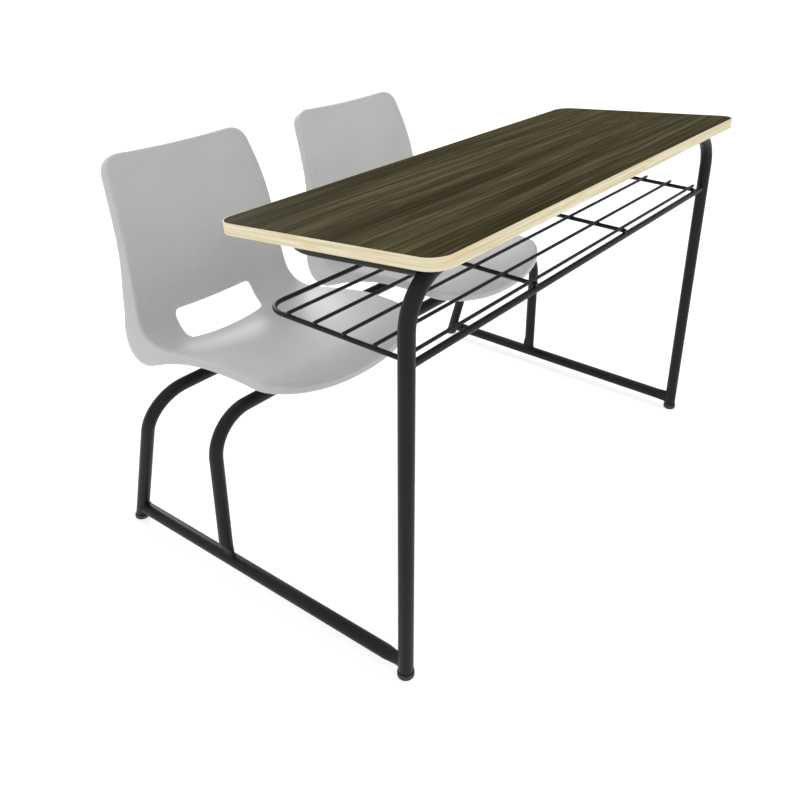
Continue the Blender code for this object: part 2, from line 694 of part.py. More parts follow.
def frame_at(x, s):
    e = 0.0015
    sx = (face_point(x + e, s) - face_point(x - e, s)) / (2 * e)
    ss = (face_point(x, s + e) - face_point(x, s - e)) / (2 * e)
    return unit(sx), unit(ss), unit(np.cross(ss, sx))     # across, along, out of the back


def shell_outline():
    """Outline of the face in (x, s), counter-clockwise, and the rim depth there."""
    pull = 0.7 * FOLD_R
    right = []
    for k in range(9):                                   # rounded front, middle to side
        a = math.radians(90.0 * k / 8)
        s = FRONT_S + (NOSE - FRONT_S) * (1 - math.cos(a) ** 0.93)
        x = (half_width(s) - pull) * math.sin(a) ** 0.93
        right.append((x, s + pull * 0.6 * math.cos(a), 1.0))
    s_top = EDGE_LEN - TOP_CORNER
    stations = np.concatenate([np.linspace(NOSE, 0.365, 7)[1:], np.linspace(0.365, 0.485, 10)[1:],
                               np.linspace(0.485, s_top, 7)[1:-1]])
    for s in stations:                                   # closer together round the bend
        right.append((half_width(s) - pull, s, 1.0))
    w = half_width(s_top) - pull
    for k in range(6):
        a = math.radians(90.0 * k / 5)
        t = max(0.0, (a - 0.3) / (0.5 * math.pi - 0.3))   # the rim thins out round the corner
        right.append((w - TOP_CORNER * (1 - math.cos(a)), s_top + (TOP_CORNER - pull) * math.sin(a),
                      1.0 - t * t * (3 - 2 * t)))
    flat = w - TOP_CORNER
    for k in range(1, 4):
        x = flat * (1 - k / 3)
        right.append((x, EDGE_LEN - pull, 0.0))
    pts = []
    for x, s, keep in right:
        sag = TOP_DIP * (1 - (x / w) ** 2) * (1 - keep) if s > s_top else 0.0
        depth = keep * rim_depth(s) + (1 - keep) * TOP_RIM
        pts.append((x, s - sag, depth))
    left = [(-x, s, d) for x, s, d in pts[1:-1][::-1]]
    return pts + left


OUTLINE = shell_outline()


def slot_loop():
    out = []
    for x, s in rounded(2 * SLOT_HALF, SLOT_HIGH - SLOT_LOW, SLOT_R, -SLOT_HALF, SLOT_LOW, 3):
        out.append((x, s))
    low = [(x, SLOT_LOW) for x in np.linspace(-SLOT_HALF + SLOT_R, SLOT_HALF - SLOT_R, 7)[1:-1]]
    high = [(x, SLOT_HIGH) for x in np.linspace(SLOT_HALF - SLOT_R, -SLOT_HALF + SLOT_R, 7)[1:-1]]
    # rounded() starts with the lower right corner, then upper right, upper left, lower left
    loop = out[0:8] + high + out[8:16] + low
    return [(x, s - SLOT_SAG * (1 - (x / SLOT_HALF) ** 2)) for x, s in loop]


SLOT = slot_loop()


def inner_points(outer, holes, step):
    """Staggered grid that keeps off the loops."""
    loops = [np.asarray(l, float) for l in [outer] + list(holes)]
    dists = [far_from(np.vstack([np.column_stack([l, np.zeros(len(l))]),
                                 np.append(l[0], 0.0)[None]])) for l in loops]
    got = []
    rows = int(EDGE_LEN / (step * 0.87)) + 1
    for j in range(rows):
        s = 0.004 + j * step * 0.87
        cols = int(0.42 / step) + 2
        for i in range(cols):
            x = (i - cols // 2 + (0.5 if j % 2 else 0.0)) * step
            if not inside((x, s), outer) or any(inside((x, s), h) for h in holes):
                continue
            if min(d(np.array([x, s, 0.0])) for d in dists) < 0.45 * step:
                continue
            got.append((x, s))
    return got


def boss_loops():
    """Outlines of the mounting bosses in (x, s), found under each strap hole."""
    loops, centres = [], []
    for sx in (-1.0, 1.0):
        for t in BOSS_AT:
            target = on_strap(0.0, t, 0.0)
            ss = np.linspace(0.05, 0.45, 401)
            best, where = 1e9, None
            for s in ss:
                p = face_point(sx * BOSS_X, s)
                along = float(np.dot(p - target, STRAP_DIR))
                if abs(along) < best:
                    best, where = abs(along), s
            loops.append(circle(sx * BOSS_X, where, BOSS_R, 12))
            centres.append((sx * BOSS_X, t))
    return loops, centres


BOSS_LOOPS, BOSS_AXES = boss_loops()
STEP = 0.038
FRONT_SHEET = mesh_flat([p[:2] for p in OUTLINE], [SLOT], inner_points([p[:2] for p in OUTLINE], [SLOT], STEP))
BACK_SHEET = mesh_flat([p[:2] for p in OUTLINE], [SLOT] + BOSS_LOOPS,
                       inner_points([p[:2] for p in OUTLINE], [SLOT] + BOSS_LOOPS, STEP))


def rim_rings():
    """Outer and inner rings of the rolled rim, from the face to the free edge."""
    n = len(OUTLINE)
    turns = (0.0, 0.5, 1.0)
    outer = [[] for _ in range(len(turns) + 1)]
    inner = [[] for _ in range(len(turns) + 1)]
    for i, (x, s, depth) in enumerate(OUTLINE):
        before, after = OUTLINE[i - 1], OUTLINE[(i + 1) % n]
        tx, ts = after[0] - before[0], after[1] - before[1]
        ln = math.hypot(tx, ts)
        across, along, back = frame_at(x, s)
        out = unit(across * (ts / ln) + along * (-tx / ln))
        out = unit(out - back * np.dot(out, back))
        # the rim leaves square to the profile, flared a little outwards
        ty, tz = np.interp(s, EDGE_S, RIM_T[:, 0]), np.interp(s, EDGE_S, RIM_T[:, 1])
        spread = math.radians(FLARE)
        way = (unit((0.0, tz, -ty)) * math.cos(spread)
               + unit(EX * (ts / ln) + np.array([0.0, ty, tz]) * (-tx / ln)) * math.sin(spread))
        way = unit(out * np.dot(way, out) + back * np.dot(way, back))
        total = math.acos(max(-1.0, min(1.0, float(np.dot(out, way)))))
        p = face_point(x, s)
        for k, t in enumerate(turns):
            a = total * t
            q = p + out * FOLD_R * math.sin(a) + back * FOLD_R * (1 - math.cos(a))
            nrm = back * math.cos(a) - out * math.sin(a)
            outer[k].append(q)
            inner[k].append(q + nrm * SHELL_T)
        q = q + way * max(depth - FOLD_R, 0.002)
        outer[-1].append(q)
        inner[-1].append(q + nrm * SHELL_T * 0.8)
    return outer, inner


def seat_shell(name, cx):
    verts, faces = [], []
    move = EX * cx

    def put(points):
        first = len(verts)
        verts.extend(np.asarray(p, float) + move for p in points)
        return first
    flat, tris, loops = FRONT_SHEET
    f0 = put([face_point(a, b) for a, b in flat])
    faces.extend(tuple(f0 + i for i in t) for t in tris)
    fl = [[f0 + i for i in loop] for loop in loops]
    flat, tris, loops = BACK_SHEET
    b0 = put([face_point(a, b) + frame_at(a, b)[2] * SHELL_T for a, b in flat])
    faces.extend(tuple(b0 + i for i in t)[::-1] for t in tris)
    bl = [[b0 + i for i in loop] for loop in loops]
    faces.extend(band(fl[1], bl[1]))                     # slot wall
    outer, inner = rim_rings()
    last_o, last_i = fl[0], bl[0]
    for k in range(1, len(outer)):
        o = put(outer[k])
        i = put(inner[k])
        ids_o = [o + j for j in range(len(outer[k]))]
        ids_i = [i + j for j in range(len(inner[k]))]
        faces.extend(band(last_o, ids_o))
        faces.extend(band(ids_i, last_i))
        last_o, last_i = ids_o, ids_i
    faces.extend(band(last_o, last_i))                   # free edge of the rim
    foot = STRAP_T + GAP
    for (bx, t), loop in zip(BOSS_AXES, bl[2:]):
        drop = []
        for i in loop:
            p = verts[i] - move
            h = float(np.dot(p - STRAP_AT, STRAP_N)) - foot
            drop.append(p - STRAP_N * h)
        d0 = put(drop)
        ids = [d0 + j for j in range(len(drop))]
        faces.extend(band(loop, ids))
        n = len(drop)
        c = on_strap(bx, t, foot)
        first = drop[0] - c
        e1 = unit(first - STRAP_N * np.dot(first, STRAP_N))
        turn = np.dot(np.cross(e1, drop[3] - c), STRAP_N)
        e2 = np.cross(STRAP_N, e1) * (1.0 if turn > 0 else -1.0)
        h0 = put(ring(c, e1, e2, PILOT_R, PILOT_R, n))
        h1 = put(ring(c + STRAP_N * 0.0075, e1, e2, PILOT_R, PILOT_R, n))
        r0, r1 = [h0 + j for j in range(n)], [h1 + j for j in range(n)]
        faces.extend(band(ids, r0))
        faces.extend(band(r0, r1))
        faces.append(tuple(r1))
    return make(name, verts, faces, PLASTIC, smooth=True)


for tag, cx in SEATS:
    seat_shell("seat_shell_" + tag, cx)
    number = 0
    for k, sx in enumerate((-1.0, 1.0)):
        x = cx + sx * BOSS_X
        outline = rounded(STRAP_W, SPAN + 0.040, 0.006, x - STRAP_W / 2, -0.020, 3)
        plate("seat_strap_%s_%d" % (tag, k + 1), on_strap, outline, STRAP_T, 0.0, PAINT,
              through=[circle(x, t, PILOT_R, 10) for t in BOSS_AT])
        for t in BOSS_AT:
            number += 1
            turned("seat_screw_%s_%d" % (tag, number),
                   [(0, 0.0), (0.0035, 0.0), (0.0048, 0.0010), (0.0048, 0.0024), (SCREW_R, 0.0024),
                    (SCREW_R, 0.0115), (0, 0.0125)],
                   on_strap(x, t, -GAP - 0.0024), STRAP_N, STEEL, segs=8)
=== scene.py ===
import math

import bmesh
import bpy
import numpy as np
from mathutils import Matrix, Vector, geometry


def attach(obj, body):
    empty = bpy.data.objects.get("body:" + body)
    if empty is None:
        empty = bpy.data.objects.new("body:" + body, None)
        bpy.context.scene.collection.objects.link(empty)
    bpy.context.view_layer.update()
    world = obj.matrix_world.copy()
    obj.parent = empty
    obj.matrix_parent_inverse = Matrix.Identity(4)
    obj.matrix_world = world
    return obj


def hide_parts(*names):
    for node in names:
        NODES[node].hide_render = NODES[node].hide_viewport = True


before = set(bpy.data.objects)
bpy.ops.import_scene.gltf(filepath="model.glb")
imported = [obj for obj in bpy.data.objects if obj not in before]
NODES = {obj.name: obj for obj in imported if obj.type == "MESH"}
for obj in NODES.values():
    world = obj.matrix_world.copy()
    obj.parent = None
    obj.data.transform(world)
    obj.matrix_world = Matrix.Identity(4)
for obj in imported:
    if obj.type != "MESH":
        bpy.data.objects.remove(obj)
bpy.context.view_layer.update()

# ------------------------------------------------------- dimensions, as in the CAD
GAP = 0.0003
SADDLE = 0.0005
Y_MID = 0.39159
TOP_Z, TOP_L, TOP_W, TOP_T, TOP_Y = 0.750, 1.080, 0.431, 0.0190, -0.0517
TILT = math.radians(5.74)
TOP_R = 0.034
BAND_T = 0.0012
SKIN_T = 0.0010
WALL = 0.0012
LEG_R, TUBE_R = 0.0128, 0.0125
LEG_X, LEG_BEND = 0.540, 0.0817
HOOP_X, HOOP_Y, HOOP_BEND = 0.498, 0.280, 0.070
RAIL_X, RAIL_Z = 0.540, 0.0280
SEAT_BEND = 0.0787
FRONT_FOOT_Y, FRONT_LEAN, FRONT_X, FRONT_RISE = 0.4225, 0.0095, 0.5455, 0.2520
REAR_FOOT_Y, REAR_LEAN, REAR_X, REAR_RISE = 0.6882, -0.2719, 0.5421, 0.2403
CAP_R, CAP_H, CAP_FLOOR = 0.0145, 0.0118, 0.0045
STRETCH_Y, STRETCH_Z, STRETCH_R = -0.0014, 0.5804, 0.0060
ROD_R, WIRE_R = 0.0040, 0.0030
RIM_Y, RIM_BEND, RIM_X0, RIM_X1 = 0.2758, 0.036, -0.540, 0.4765
CROSS_X = (-0.2005, 0.1335)
WIRE_Y = (0.2229, 0.1690, 0.1122, 0.0549, 0.0014)
WIRE_END = 0.4835
SEATS = (("left", -0.2548), ("right", 0.2595))
SHELL_T = 0.0045
FOLD_R = 0.0080
ROLL_R = 0.0048        # rounding that shows between face and rim, inside the CAD's broader facets
FLARE = 4.0
SLOT_HALF, SLOT_LOW, SLOT_HIGH, SLOT_R, SLOT_SAG = 0.1020, 0.4115, 0.455, 0.011, 0.002
BOSS_X, BOSS_R, BOSS_AT = 0.085, 0.011, (0.034, 0.146)
STRAP_T, STRAP_W = 0.003, 0.026
PILOT_R = 0.0026
SHELL_EDGE = ((0.2935, 0.3785), (0.345, 0.3812), (0.400, 0.3850), (0.455, 0.3878), (0.510, 0.3852),
              (0.592, 0.3722), (0.680, 0.3588), (0.7270, 0.3795), (0.7440, 0.4350),
              (0.7608, 0.5416), (0.7838, 0.6214), (0.8189, 0.7069))
SHELL_WIDTH = ((0.0, 0.2060), (0.12, 0.2062), (0.20, 0.2068), (0.30, 0.2045),
               (0.40, 0.2010), (0.45, 0.1992), (0.51, 0.1949), (0.61, 0.1894),
               (0.68, 0.1846), (0.73, 0.1777), (0.79, 0.1684))
SHELL_HOLLOW = ((0.0, 0.0), (0.05, 0.003), (0.10, 0.010), (0.17, 0.019), (0.25, 0.026),
                (0.33, 0.033), (0.38, 0.039), (0.415, 0.047), (0.435, 0.037),
                (0.457, 0.025), (0.50, 0.020), (0.60, 0.014), (0.79, 0.008))
SHELL_RIM = ((0.0, 0.0152), (0.05, 0.0157), (0.075, 0.0168), (0.10, 0.0197), (0.145, 0.0200),
             (0.20, 0.0203), (0.26, 0.0174), (0.32, 0.0208), (0.353, 0.0249), (0.373, 0.0283),
             (0.396, 0.0372), (0.411, 0.0584), (0.4266, 0.0860), (0.442, 0.0614), (0.457, 0.0340),
             (0.4725, 0.0393), (0.488, 0.0366), (0.503, 0.0338), (0.534, 0.0288), (0.564, 0.0245),
             (0.60, 0.0226), (0.66, 0.0207), (0.70, 0.0208), (0.745, 0.0225), (0.775, 0.0180),
             (0.79, 0.0140))
TOP_DIP, TOP_RIM, TOP_CORNER, NOSE = 0.0045, 0.012, 0.036, 0.108
FRONT_S, FALL_S, FALL = 0.0295, 0.107, 0.0260

EX = np.array([1.0, 0.0, 0.0])
Y3 = np.array([0.0, 1.0, 0.0])
Z3 = np.array([0.0, 0.0, 1.0])


# ---------------------------------------------------------------- small helpers
def unit(v):
    v = np.asarray(v, float)
    return v / np.linalg.norm(v)


def far_from(points):
    pts = np.asarray(points, float)
    a, d = pts[:-1], pts[1:] - pts[:-1]
    dd = (d ** 2).sum(1)

    def dist(p):
        t = np.clip(((p - a) * d).sum(1) / dd, 0.0, 1.0)
        return float(np.sqrt((((a + d * t[:, None]) - p) ** 2).sum(1)).min())
    return dist


def ring(c, e1, e2, a, b, sides):
    ang = np.arange(sides) * (2 * math.pi / sides)
    return (np.asarray(c, float) + a * np.cos(ang)[:, None] * np.asarray(e1, float)
            + b * np.sin(ang)[:, None] * np.asarray(e2, float))


def trim(points, way, dist, clear, reach, short=0.0055):
    out = []
    for p in points:
        ts = np.linspace(-reach, reach, 61)
        ds = [dist(p + way * t) for t in ts]
        k = int(np.argmin(ds))
        lo, hi = -reach, ts[k]
        if ds[k] > clear:
            lo = hi
        for _ in range(30):
            mid = 0.5 * (lo + hi)
            if dist(p + way * mid) > clear:
                lo = mid
            else:
                hi = mid
        out.append(p + way * min(lo, ts[k] - short))
    return np.array(out)


def band(a, b):
    n = len(a)
    return [(a[i], a[(i + 1) % n], b[(i + 1) % n], b[i]) for i in range(n)]


def build(name, verts, faces, mat, nodes=(), smooth=True, sharp=40.0, normals=None, orient=True):
    """A named piece in the row frame; the points come in the drawing frame.
    Normals are one per point, zero where the mesh's own is wanted."""
    mesh = bpy.data.meshes.new(name)
    pts = [(float(p[0]), float(p[1]) - Y_MID, float(p[2])) for p in verts]
    mesh.from_pydata(pts, [], [tuple(int(i) for i in f) for f in faces])
    if orient:
        bm = bmesh.new()
        bm.from_mesh(mesh)
        bmesh.ops.recalc_face_normals(bm, faces=bm.faces)
        if bm.calc_volume(signed=True) < 0:
            bmesh.ops.reverse_faces(bm, faces=bm.faces)
        bm.to_mesh(mesh)
        bm.free()
    if smooth:
        mesh.shade_smooth()
        if sharp is not None:
            mesh.set_sharp_from_angle(angle=math.radians(sharp))
    if normals is not None:
        mesh.normals_split_custom_set_from_vertices([tuple(float(c) for c in v) for v in normals])
    obj = bpy.data.objects.new(name, mesh)
    bpy.context.scene.collection.objects.link(obj)
    mesh.materials.append(mat)
    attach(obj, "root")
    if nodes:
        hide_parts(*nodes)
    return obj


# -------------------------------------------------------------------- materials
class Graph:
    """A short way to write node trees."""

    def __init__(self, name):
        self.mat = bpy.data.materials.new(name)
        self.mat.use_nodes = True
        self.tree = self.mat.node_tree
        self.bsdf = next(n for n in self.tree.nodes if n.type == "BSDF_PRINCIPLED")

    def node(self, kind, **props):
        n = self.tree.nodes.new(kind)
        for k, v in props.items():
            setattr(n, k, v)
        return n

    def link(self, a, b):
        self.tree.links.new(a, b)

    def coords(self, scale=(1, 1, 1), rotation=(0, 0, 0), location=(0, 0, 0)):
        tc = self.node("ShaderNodeTexCoord")
        m = self.node("ShaderNodeMapping")
        m.inputs["Location"].default_value = location
        m.inputs["Rotation"].default_value = rotation
        m.inputs["Scale"].default_value = scale
        self.link(tc.outputs["Object"], m.inputs["Vector"])
        return m.outputs["Vector"]

    def desk(self):
        """x along the desktop, s down its slope, h out of it, as three sockets."""
        tc = self.node("ShaderNodeTexCoord")
        out = []
        for way in ((1.0, 0.0, 0.0), (0.0, math.cos(TILT), -math.sin(TILT)), (0.0, math.sin(TILT), math.cos(TILT))):
            d = self.node("ShaderNodeVectorMath", operation="DOT_PRODUCT")
            self.link(tc.outputs["Object"], d.inputs[0])
            d.inputs[1].default_value = way
            out.append(d.outputs["Value"])
        return out

    def join(self, x, y, z):
        c = self.node("ShaderNodeCombineXYZ")
        for i, v in enumerate((x, y, z)):
            if isinstance(v, (int, float)):
                c.inputs[i].default_value = v
            else:
                self.link(v, c.inputs[i])
        return c.outputs[0]

    def noise(self, vector, scale, detail=4.0, rough=0.55, distortion=0.0, lacunarity=2.0):
        n = self.node("ShaderNodeTexNoise")
        n.inputs["Scale"].default_value = scale
        n.inputs["Detail"].default_value = detail
        n.inputs["Roughness"].default_value = rough
        n.inputs["Lacunarity"].default_value = lacunarity
        n.inputs["Distortion"].default_value = distortion
        self.link(vector, n.inputs["Vector"])
        return n.outputs["Fac"]

    def ramp(self, fac, stops, interpolation="LINEAR"):
        r = self.node("ShaderNodeValToRGB")
        r.color_ramp.interpolation = interpolation
        while len(r.color_ramp.elements) < len(stops):
            r.color_ramp.elements.new(0.5)
        for e, (pos, col) in zip(r.color_ramp.elements, stops):
            e.position = pos
            e.color = (*col, 1.0) if len(col) == 3 else col
        self.link(fac, r.inputs["Fac"])
        return r.outputs["Color"]

    def span(self, fac, lo, hi, a=0.0, b=1.0):
        m = self.node("ShaderNodeMapRange")
        m.inputs["From Min"].default_value = lo
        m.inputs["From Max"].default_value = hi
        m.inputs["To Min"].default_value = a
        m.inputs["To Max"].default_value = b
        self.link(fac, m.inputs["Value"])
        return m.outputs["Result"]

    def math(self, op, a, b=None, c=None):
        m = self.node("ShaderNodeMath", operation=op)
        for i, v in enumerate((a, b, c)):
            if v is None:
                continue
            if isinstance(v, (int, float)):
                m.inputs[i].default_value = v
            else:
                self.link(v, m.inputs[i])
        return m.outputs[0]

    def mix(self, fac, a, b, blend="MIX"):
        m = self.node("ShaderNodeMix", data_type="RGBA", blend_type=blend)
        for sock, v in ((m.inputs[0], fac), (m.inputs[6], a), (m.inputs[7], b)):
            if isinstance(v, (int, float)):
                sock.default_value = v
            elif isinstance(v, tuple):
                sock.default_value = (*v, 1.0)
            else:
                self.link(v, sock)
        return m.outputs[2]

    def bump(self, height, strength, distance, normal=None):
        b = self.node("ShaderNodeBump")
        b.inputs["Strength"].default_value = strength
        b.inputs["Distance"].default_value = distance
        self.link(height, b.inputs["Height"])
        if normal is not None:
            self.link(normal, b.inputs["Normal"])
        return b.outputs["Normal"]

    def finish(self, color=None, rough=None, normal=None, **fixed):
        for name, v in (("Base Color", color), ("Roughness", rough), ("Normal", normal)):
            if v is not None:
                self.link(v, self.bsdf.inputs[name])
        for k, v in fixed.items():
            self.bsdf.inputs[k.replace("_", " ")].default_value = v
        return self.mat


def lin(*rgb):
    """Display colour, 0 to 255, as linear."""
    out = []
    for c in rgb:
        c = c / 255.0
        out.append(c / 12.92 if c <= 0.04045 else ((c + 0.055) / 1.055) ** 2.4)
    return tuple(out)


def make_paint():
    g = Graph("powder_coat_black")
    v = g.coords()
    broad = g.noise(v, 9.0, 3.0)
    fine = g.noise(v, 620.0, 3.0, 0.6)
    peel = g.noise(v, 260.0, 2.0, 0.5)
    dust = g.noise(v, 46.0, 6.0, 0.7)
    col = g.ramp(broad, ((0.30, lin(18, 18, 19)), (0.70, lin(24, 24, 25))))
    col = g.mix(g.span(dust, 0.56, 0.80, 0.0, 0.30), col, lin(38, 37, 36))
    rough = g.math("ADD", g.span(fine, 0.3, 0.7, 0.36, 0.46), g.span(dust, 0.5, 0.8, 0.0, 0.12))
    n = g.bump(peel, 0.20, 0.0006)
    n = g.bump(fine, 0.16, 0.0002, n)
    return g.finish(col, rough, n, Specular_IOR_Level=0.18)


def make_plastic():
    g = Graph("seat_polypropylene")
    v = g.coords()
    cloud = g.noise(v, 7.0, 4.0, 0.55)
    mottle = g.noise(v, 60.0, 4.0, 0.6)
    grain = g.noise(v, 1300.0, 2.0, 0.6)
    pores = g.noise(v, 2600.0, 2.0, 0.5)
    col = g.ramp(cloud, ((0.32, lin(179, 179, 179)), (0.68, lin(185, 185, 185))))
    col = g.mix(g.span(mottle, 0.45, 0.75, 0.0, 0.22), col, lin(173, 173, 173))
    rough = g.math("ADD", g.span(grain, 0.3, 0.7, 0.42, 0.50), g.span(cloud, 0.3, 0.7, 0.0, 0.05))
    n = g.bump(grain, 0.16, 0.0003)
    n = g.bump(pores, 0.08, 0.00015, n)
    return g.finish(col, rough, n, Specular_IOR_Level=0.10, Subsurface_Weight=0.80,
                    Subsurface_Radius=(1.0, 1.0, 1.0), Subsurface_Scale=0.008)


def make_laminate():
    """Dark walnut print: long streaks along X, with a few arched figures."""
    g = Graph("laminate_walnut")
    x, s, h = g.desk()
    bend = g.noise(g.join(g.math("MULTIPLY", x, 1.5), g.math("MULTIPLY", s, 5.0), 3.1), 1.0, 2.0, 0.5)
    y = g.math("ADD", s, g.span(bend, 0.0, 1.0, -0.016, 0.016))

    def streak(sx, sy, detail, rough, off):
        return g.noise(g.join(g.math("MULTIPLY", x, sx), g.math("MULTIPLY", y, sy), off), 1.0, detail, rough)

    wide = streak(0.9, 17.0, 3.0, 0.50, 2.3)
    mid = streak(2.2, 78.0, 3.0, 0.55, 7.1)
    fine = streak(7.0, 290.0, 3.0, 0.60, 4.4)
    hair = streak(9.0, 900.0, 3.0, 0.6, 9.9)
    hue = streak(1.4, 40.0, 2.0, 0.5, 13.2)
    # arches: the board is cut almost along the rings of the log
    lift = g.noise(g.join(g.math("MULTIPLY", x, 2.3), 0.4, 5.5), 1.0, 2.0, 0.5)
    deep = g.span(lift, 0.30, 0.70, 0.0, 0.075)
    across = g.math("ADD", y, 0.285)
    ring_r = g.math("SQRT", g.math("ADD", g.math("MULTIPLY", across, across), g.math("MULTIPLY", deep, deep)))
    wobble = g.noise(g.join(g.math("MULTIPLY", x, 5.0), g.math("MULTIPLY", y, 40.0), 1.7), 1.0, 3.0, 0.5)
    phase = g.math("ADD", g.math("MULTIPLY", ring_r, 520.0), g.math("MULTIPLY", wobble, 7.0))
    arches = g.span(g.math("SINE", phase), -1.0, 1.0, 0.42, 0.58)

    tone = g.math("MULTIPLY_ADD", wide, 0.90, -0.45)
    tone = g.math("ADD", tone, g.math("MULTIPLY_ADD", mid, 1.0, -0.50))
    tone = g.math("ADD", tone, g.math("MULTIPLY_ADD", fine, 0.70, -0.35))
    tone = g.math("ADD", tone, g.math("MULTIPLY_ADD", arches, 0.50, 0.25))
    col = g.ramp(tone, ((0.20, lin(35, 32, 18)), (0.37, lin(49, 45, 27)), (0.50, lin(62, 58, 38)),
                        (0.63, lin(77, 73, 50)), (0.80, lin(96, 91, 68))))
    tint = g.mix(g.span(hue, 0.40, 0.60), lin(72, 60, 26), lin(58, 58, 34))
    col = g.mix(0.14, col, tint)
    col = g.mix(g.span(hair, 0.30, 0.46, 0.30, 0.0), col, lin(30, 26, 12))
    col = g.mix(g.span(fine, 0.60, 0.74, 0.0, 0.26), col, lin(98, 90, 66))
    rough = g.span(fine, 0.3, 0.7, 0.50, 0.62)
    n = g.bump(hair, 0.20, 0.00012)
    n = g.bump(fine, 0.14, 0.0002, n)
    return g.finish(col, rough, n, Specular_IOR_Level=0.004)


def make_band():
    """Pale ply-like edge band, its lines run round the desktop."""
    g = Graph("edge_band_ply")
    x, s, h = g.desk()

    def layer(k, sh, off, detail):
        return g.noise(g.join(g.math("MULTIPLY_ADD", x, k, off), g.math("MULTIPLY", s, k), g.math("MULTIPLY", h, sh)),
                       1.0, detail, 0.55)
    lines = layer(5.0, 330.0, 0.0, 3.0)
    fibre = layer(15.0, 1100.0, 4.0, 3.0)
    patch = layer(16.0, 110.0, 9.0, 3.0)
    col = g.ramp(lines, ((0.36, lin(202, 188, 150)), (0.50, lin(215, 204, 171)), (0.64, lin(226, 218, 193))))
    col = g.mix(g.span(patch, 0.54, 0.68, 0.0, 0.75), col, lin(212, 190, 134))
    col = g.mix(g.span(fibre, 0.30, 0.46, 0.22, 0.0), col, lin(190, 174, 134))
    rough = g.span(fibre, 0.3, 0.7, 0.44, 0.58)
    n = g.bump(fibre, 0.10, 0.0001)
    return g.finish(col, rough, n, Specular_IOR_Level=0.35)


def make_board():
    g = Graph("particle_board")
    v = g.coords()
    vor = g.node("ShaderNodeTexVoronoi", feature="F1")
    vor.inputs["Scale"].default_value = 420.0
    g.link(v, vor.inputs["Vector"])
    chips = g.node("ShaderNodeSeparateColor")
    g.link(vor.outputs["Color"], chips.inputs[0])
    col = g.ramp(chips.outputs[0], ((0.1, lin(150, 118, 80)), (0.5, lin(184, 150, 106)), (0.9, lin(205, 176, 134))))
    n = g.bump(vor.outputs["Distance"], 0.3, 0.0004)
    return g.finish(col, g.span(chips.outputs[1], 0, 1, 0.75, 0.9), n)


def make_backer():
    g = Graph("backing_sheet")
    v = g.coords()
    fibre = g.noise(g.coords((30.0, 260.0, 30.0)), 1.0, 4.0, 0.6)
    cloud = g.noise(v, 14.0, 4.0)
    col = g.ramp(cloud, ((0.3, lin(196, 192, 184)), (0.7, lin(208, 204, 196))))
    col = g.mix(g.span(fibre, 0.5, 0.75, 0.0, 0.35), col, lin(180, 174, 164))
    return g.finish(col, g.span(fibre, 0.3, 0.7, 0.5, 0.62), g.bump(fibre, 0.1, 0.0002))


def make_rubber():
    g = Graph("cap_rubber_black")
    v = g.coords()
    fine = g.noise(v, 900.0, 3.0, 0.6)
    scuff = g.noise(g.coords((60.0, 60.0, 240.0)), 1.0, 5.0, 0.65)
    col = g.ramp(scuff, ((0.35, lin(26, 26, 27)), (0.70, lin(44, 43, 43))))
    return g.finish(col, g.span(scuff, 0.3, 0.7, 0.50, 0.68), g.bump(fine, 0.2, 0.0003))


def make_zinc():
    g = Graph("zinc_plate")
    v = g.coords()
    spang = g.noise(v, 700.0, 4.0, 0.6)
    col = g.ramp(spang, ((0.3, lin(176, 178, 180)), (0.7, lin(206, 208, 210))))
    return g.finish(col, g.span(spang, 0.3, 0.7, 0.26, 0.42), g.bump(spang, 0.08, 0.0001), Metallic=1.0)


PAINT, PLASTIC, LAMINATE, BAND = make_paint(), make_plastic(), make_laminate(), make_band()
BOARD, BACKER, RUBBER, ZINC = make_board(), make_backer(), make_rubber(), make_zinc()


# ------------------------------------------------------------------ frame tubes
def on_top(x, s, h):
    return np.array([x, TOP_Y, TOP_Z]) + DOWN_SLOPE * s + TOP_N * h


DOWN_SLOPE = np.array([0.0, math.cos(TILT), -math.sin(TILT)])
TOP_N = np.array([0.0, math.sin(TILT), math.cos(TILT)])


def s_at(y, h):
    return (y - TOP_Y - TOP_N[1] * h) / DOWN_SLOPE[1]


UNDER = -TOP_T - GAP
LEG_RUN_S = s_at(0.0, UNDER - LEG_R)
LEG_RUN = on_top(0.0, LEG_RUN_S, UNDER - LEG_R)
HOOP_S = s_at(HOOP_Y, UNDER - TUBE_R)
LEG_RISE = LEG_RUN[2] - LEG_BEND
SIDES = 36
BEND_STEPS = 22


def u_path(x, y, lean, rise, bend, start, steps=BEND_STEPS):
    up = unit((0.0, lean, 1.0))
    foot = np.array([-x, y, 0.0])
    pts, ways = [], []
    for s in start:
        pts.append(foot + up * s)
        ways.append(up)
    cen = foot + up * rise + EX * bend
    for k in range(steps + 1):
        a = math.radians(90.0 * k / steps)
        pts.append(cen - EX * bend * math.cos(a) + up * bend * math.sin(a))
        ways.append(EX * math.sin(a) + up * math.cos(a))
    mirror = np.array([-1.0, 1.0, 1.0])
    flip = np.array([1.0, -1.0, -1.0])
    pts += [p * mirror for p in pts[::-1]]
    ways += [w * flip for w in ways[::-1]]
    return pts, ways, unit(np.cross(EX, up))


def rings_on(pts, ways, normal, r, sides=SIDES, shape=None):
    out = []
    for k, (p, w) in enumerate(zip(pts, ways)):
        a = b = r
        c = np.asarray(p, float)
        if shape is not None and shape(k) is not None:
            a, b, move = shape(k)
            c = c + move
        out.append(ring(c, normal, np.cross(w, normal), a, b, sides))
    return out


def cut_level(points, way, z):
    return np.array([p + way * ((z - p[2]) / way[2]) for p in points])


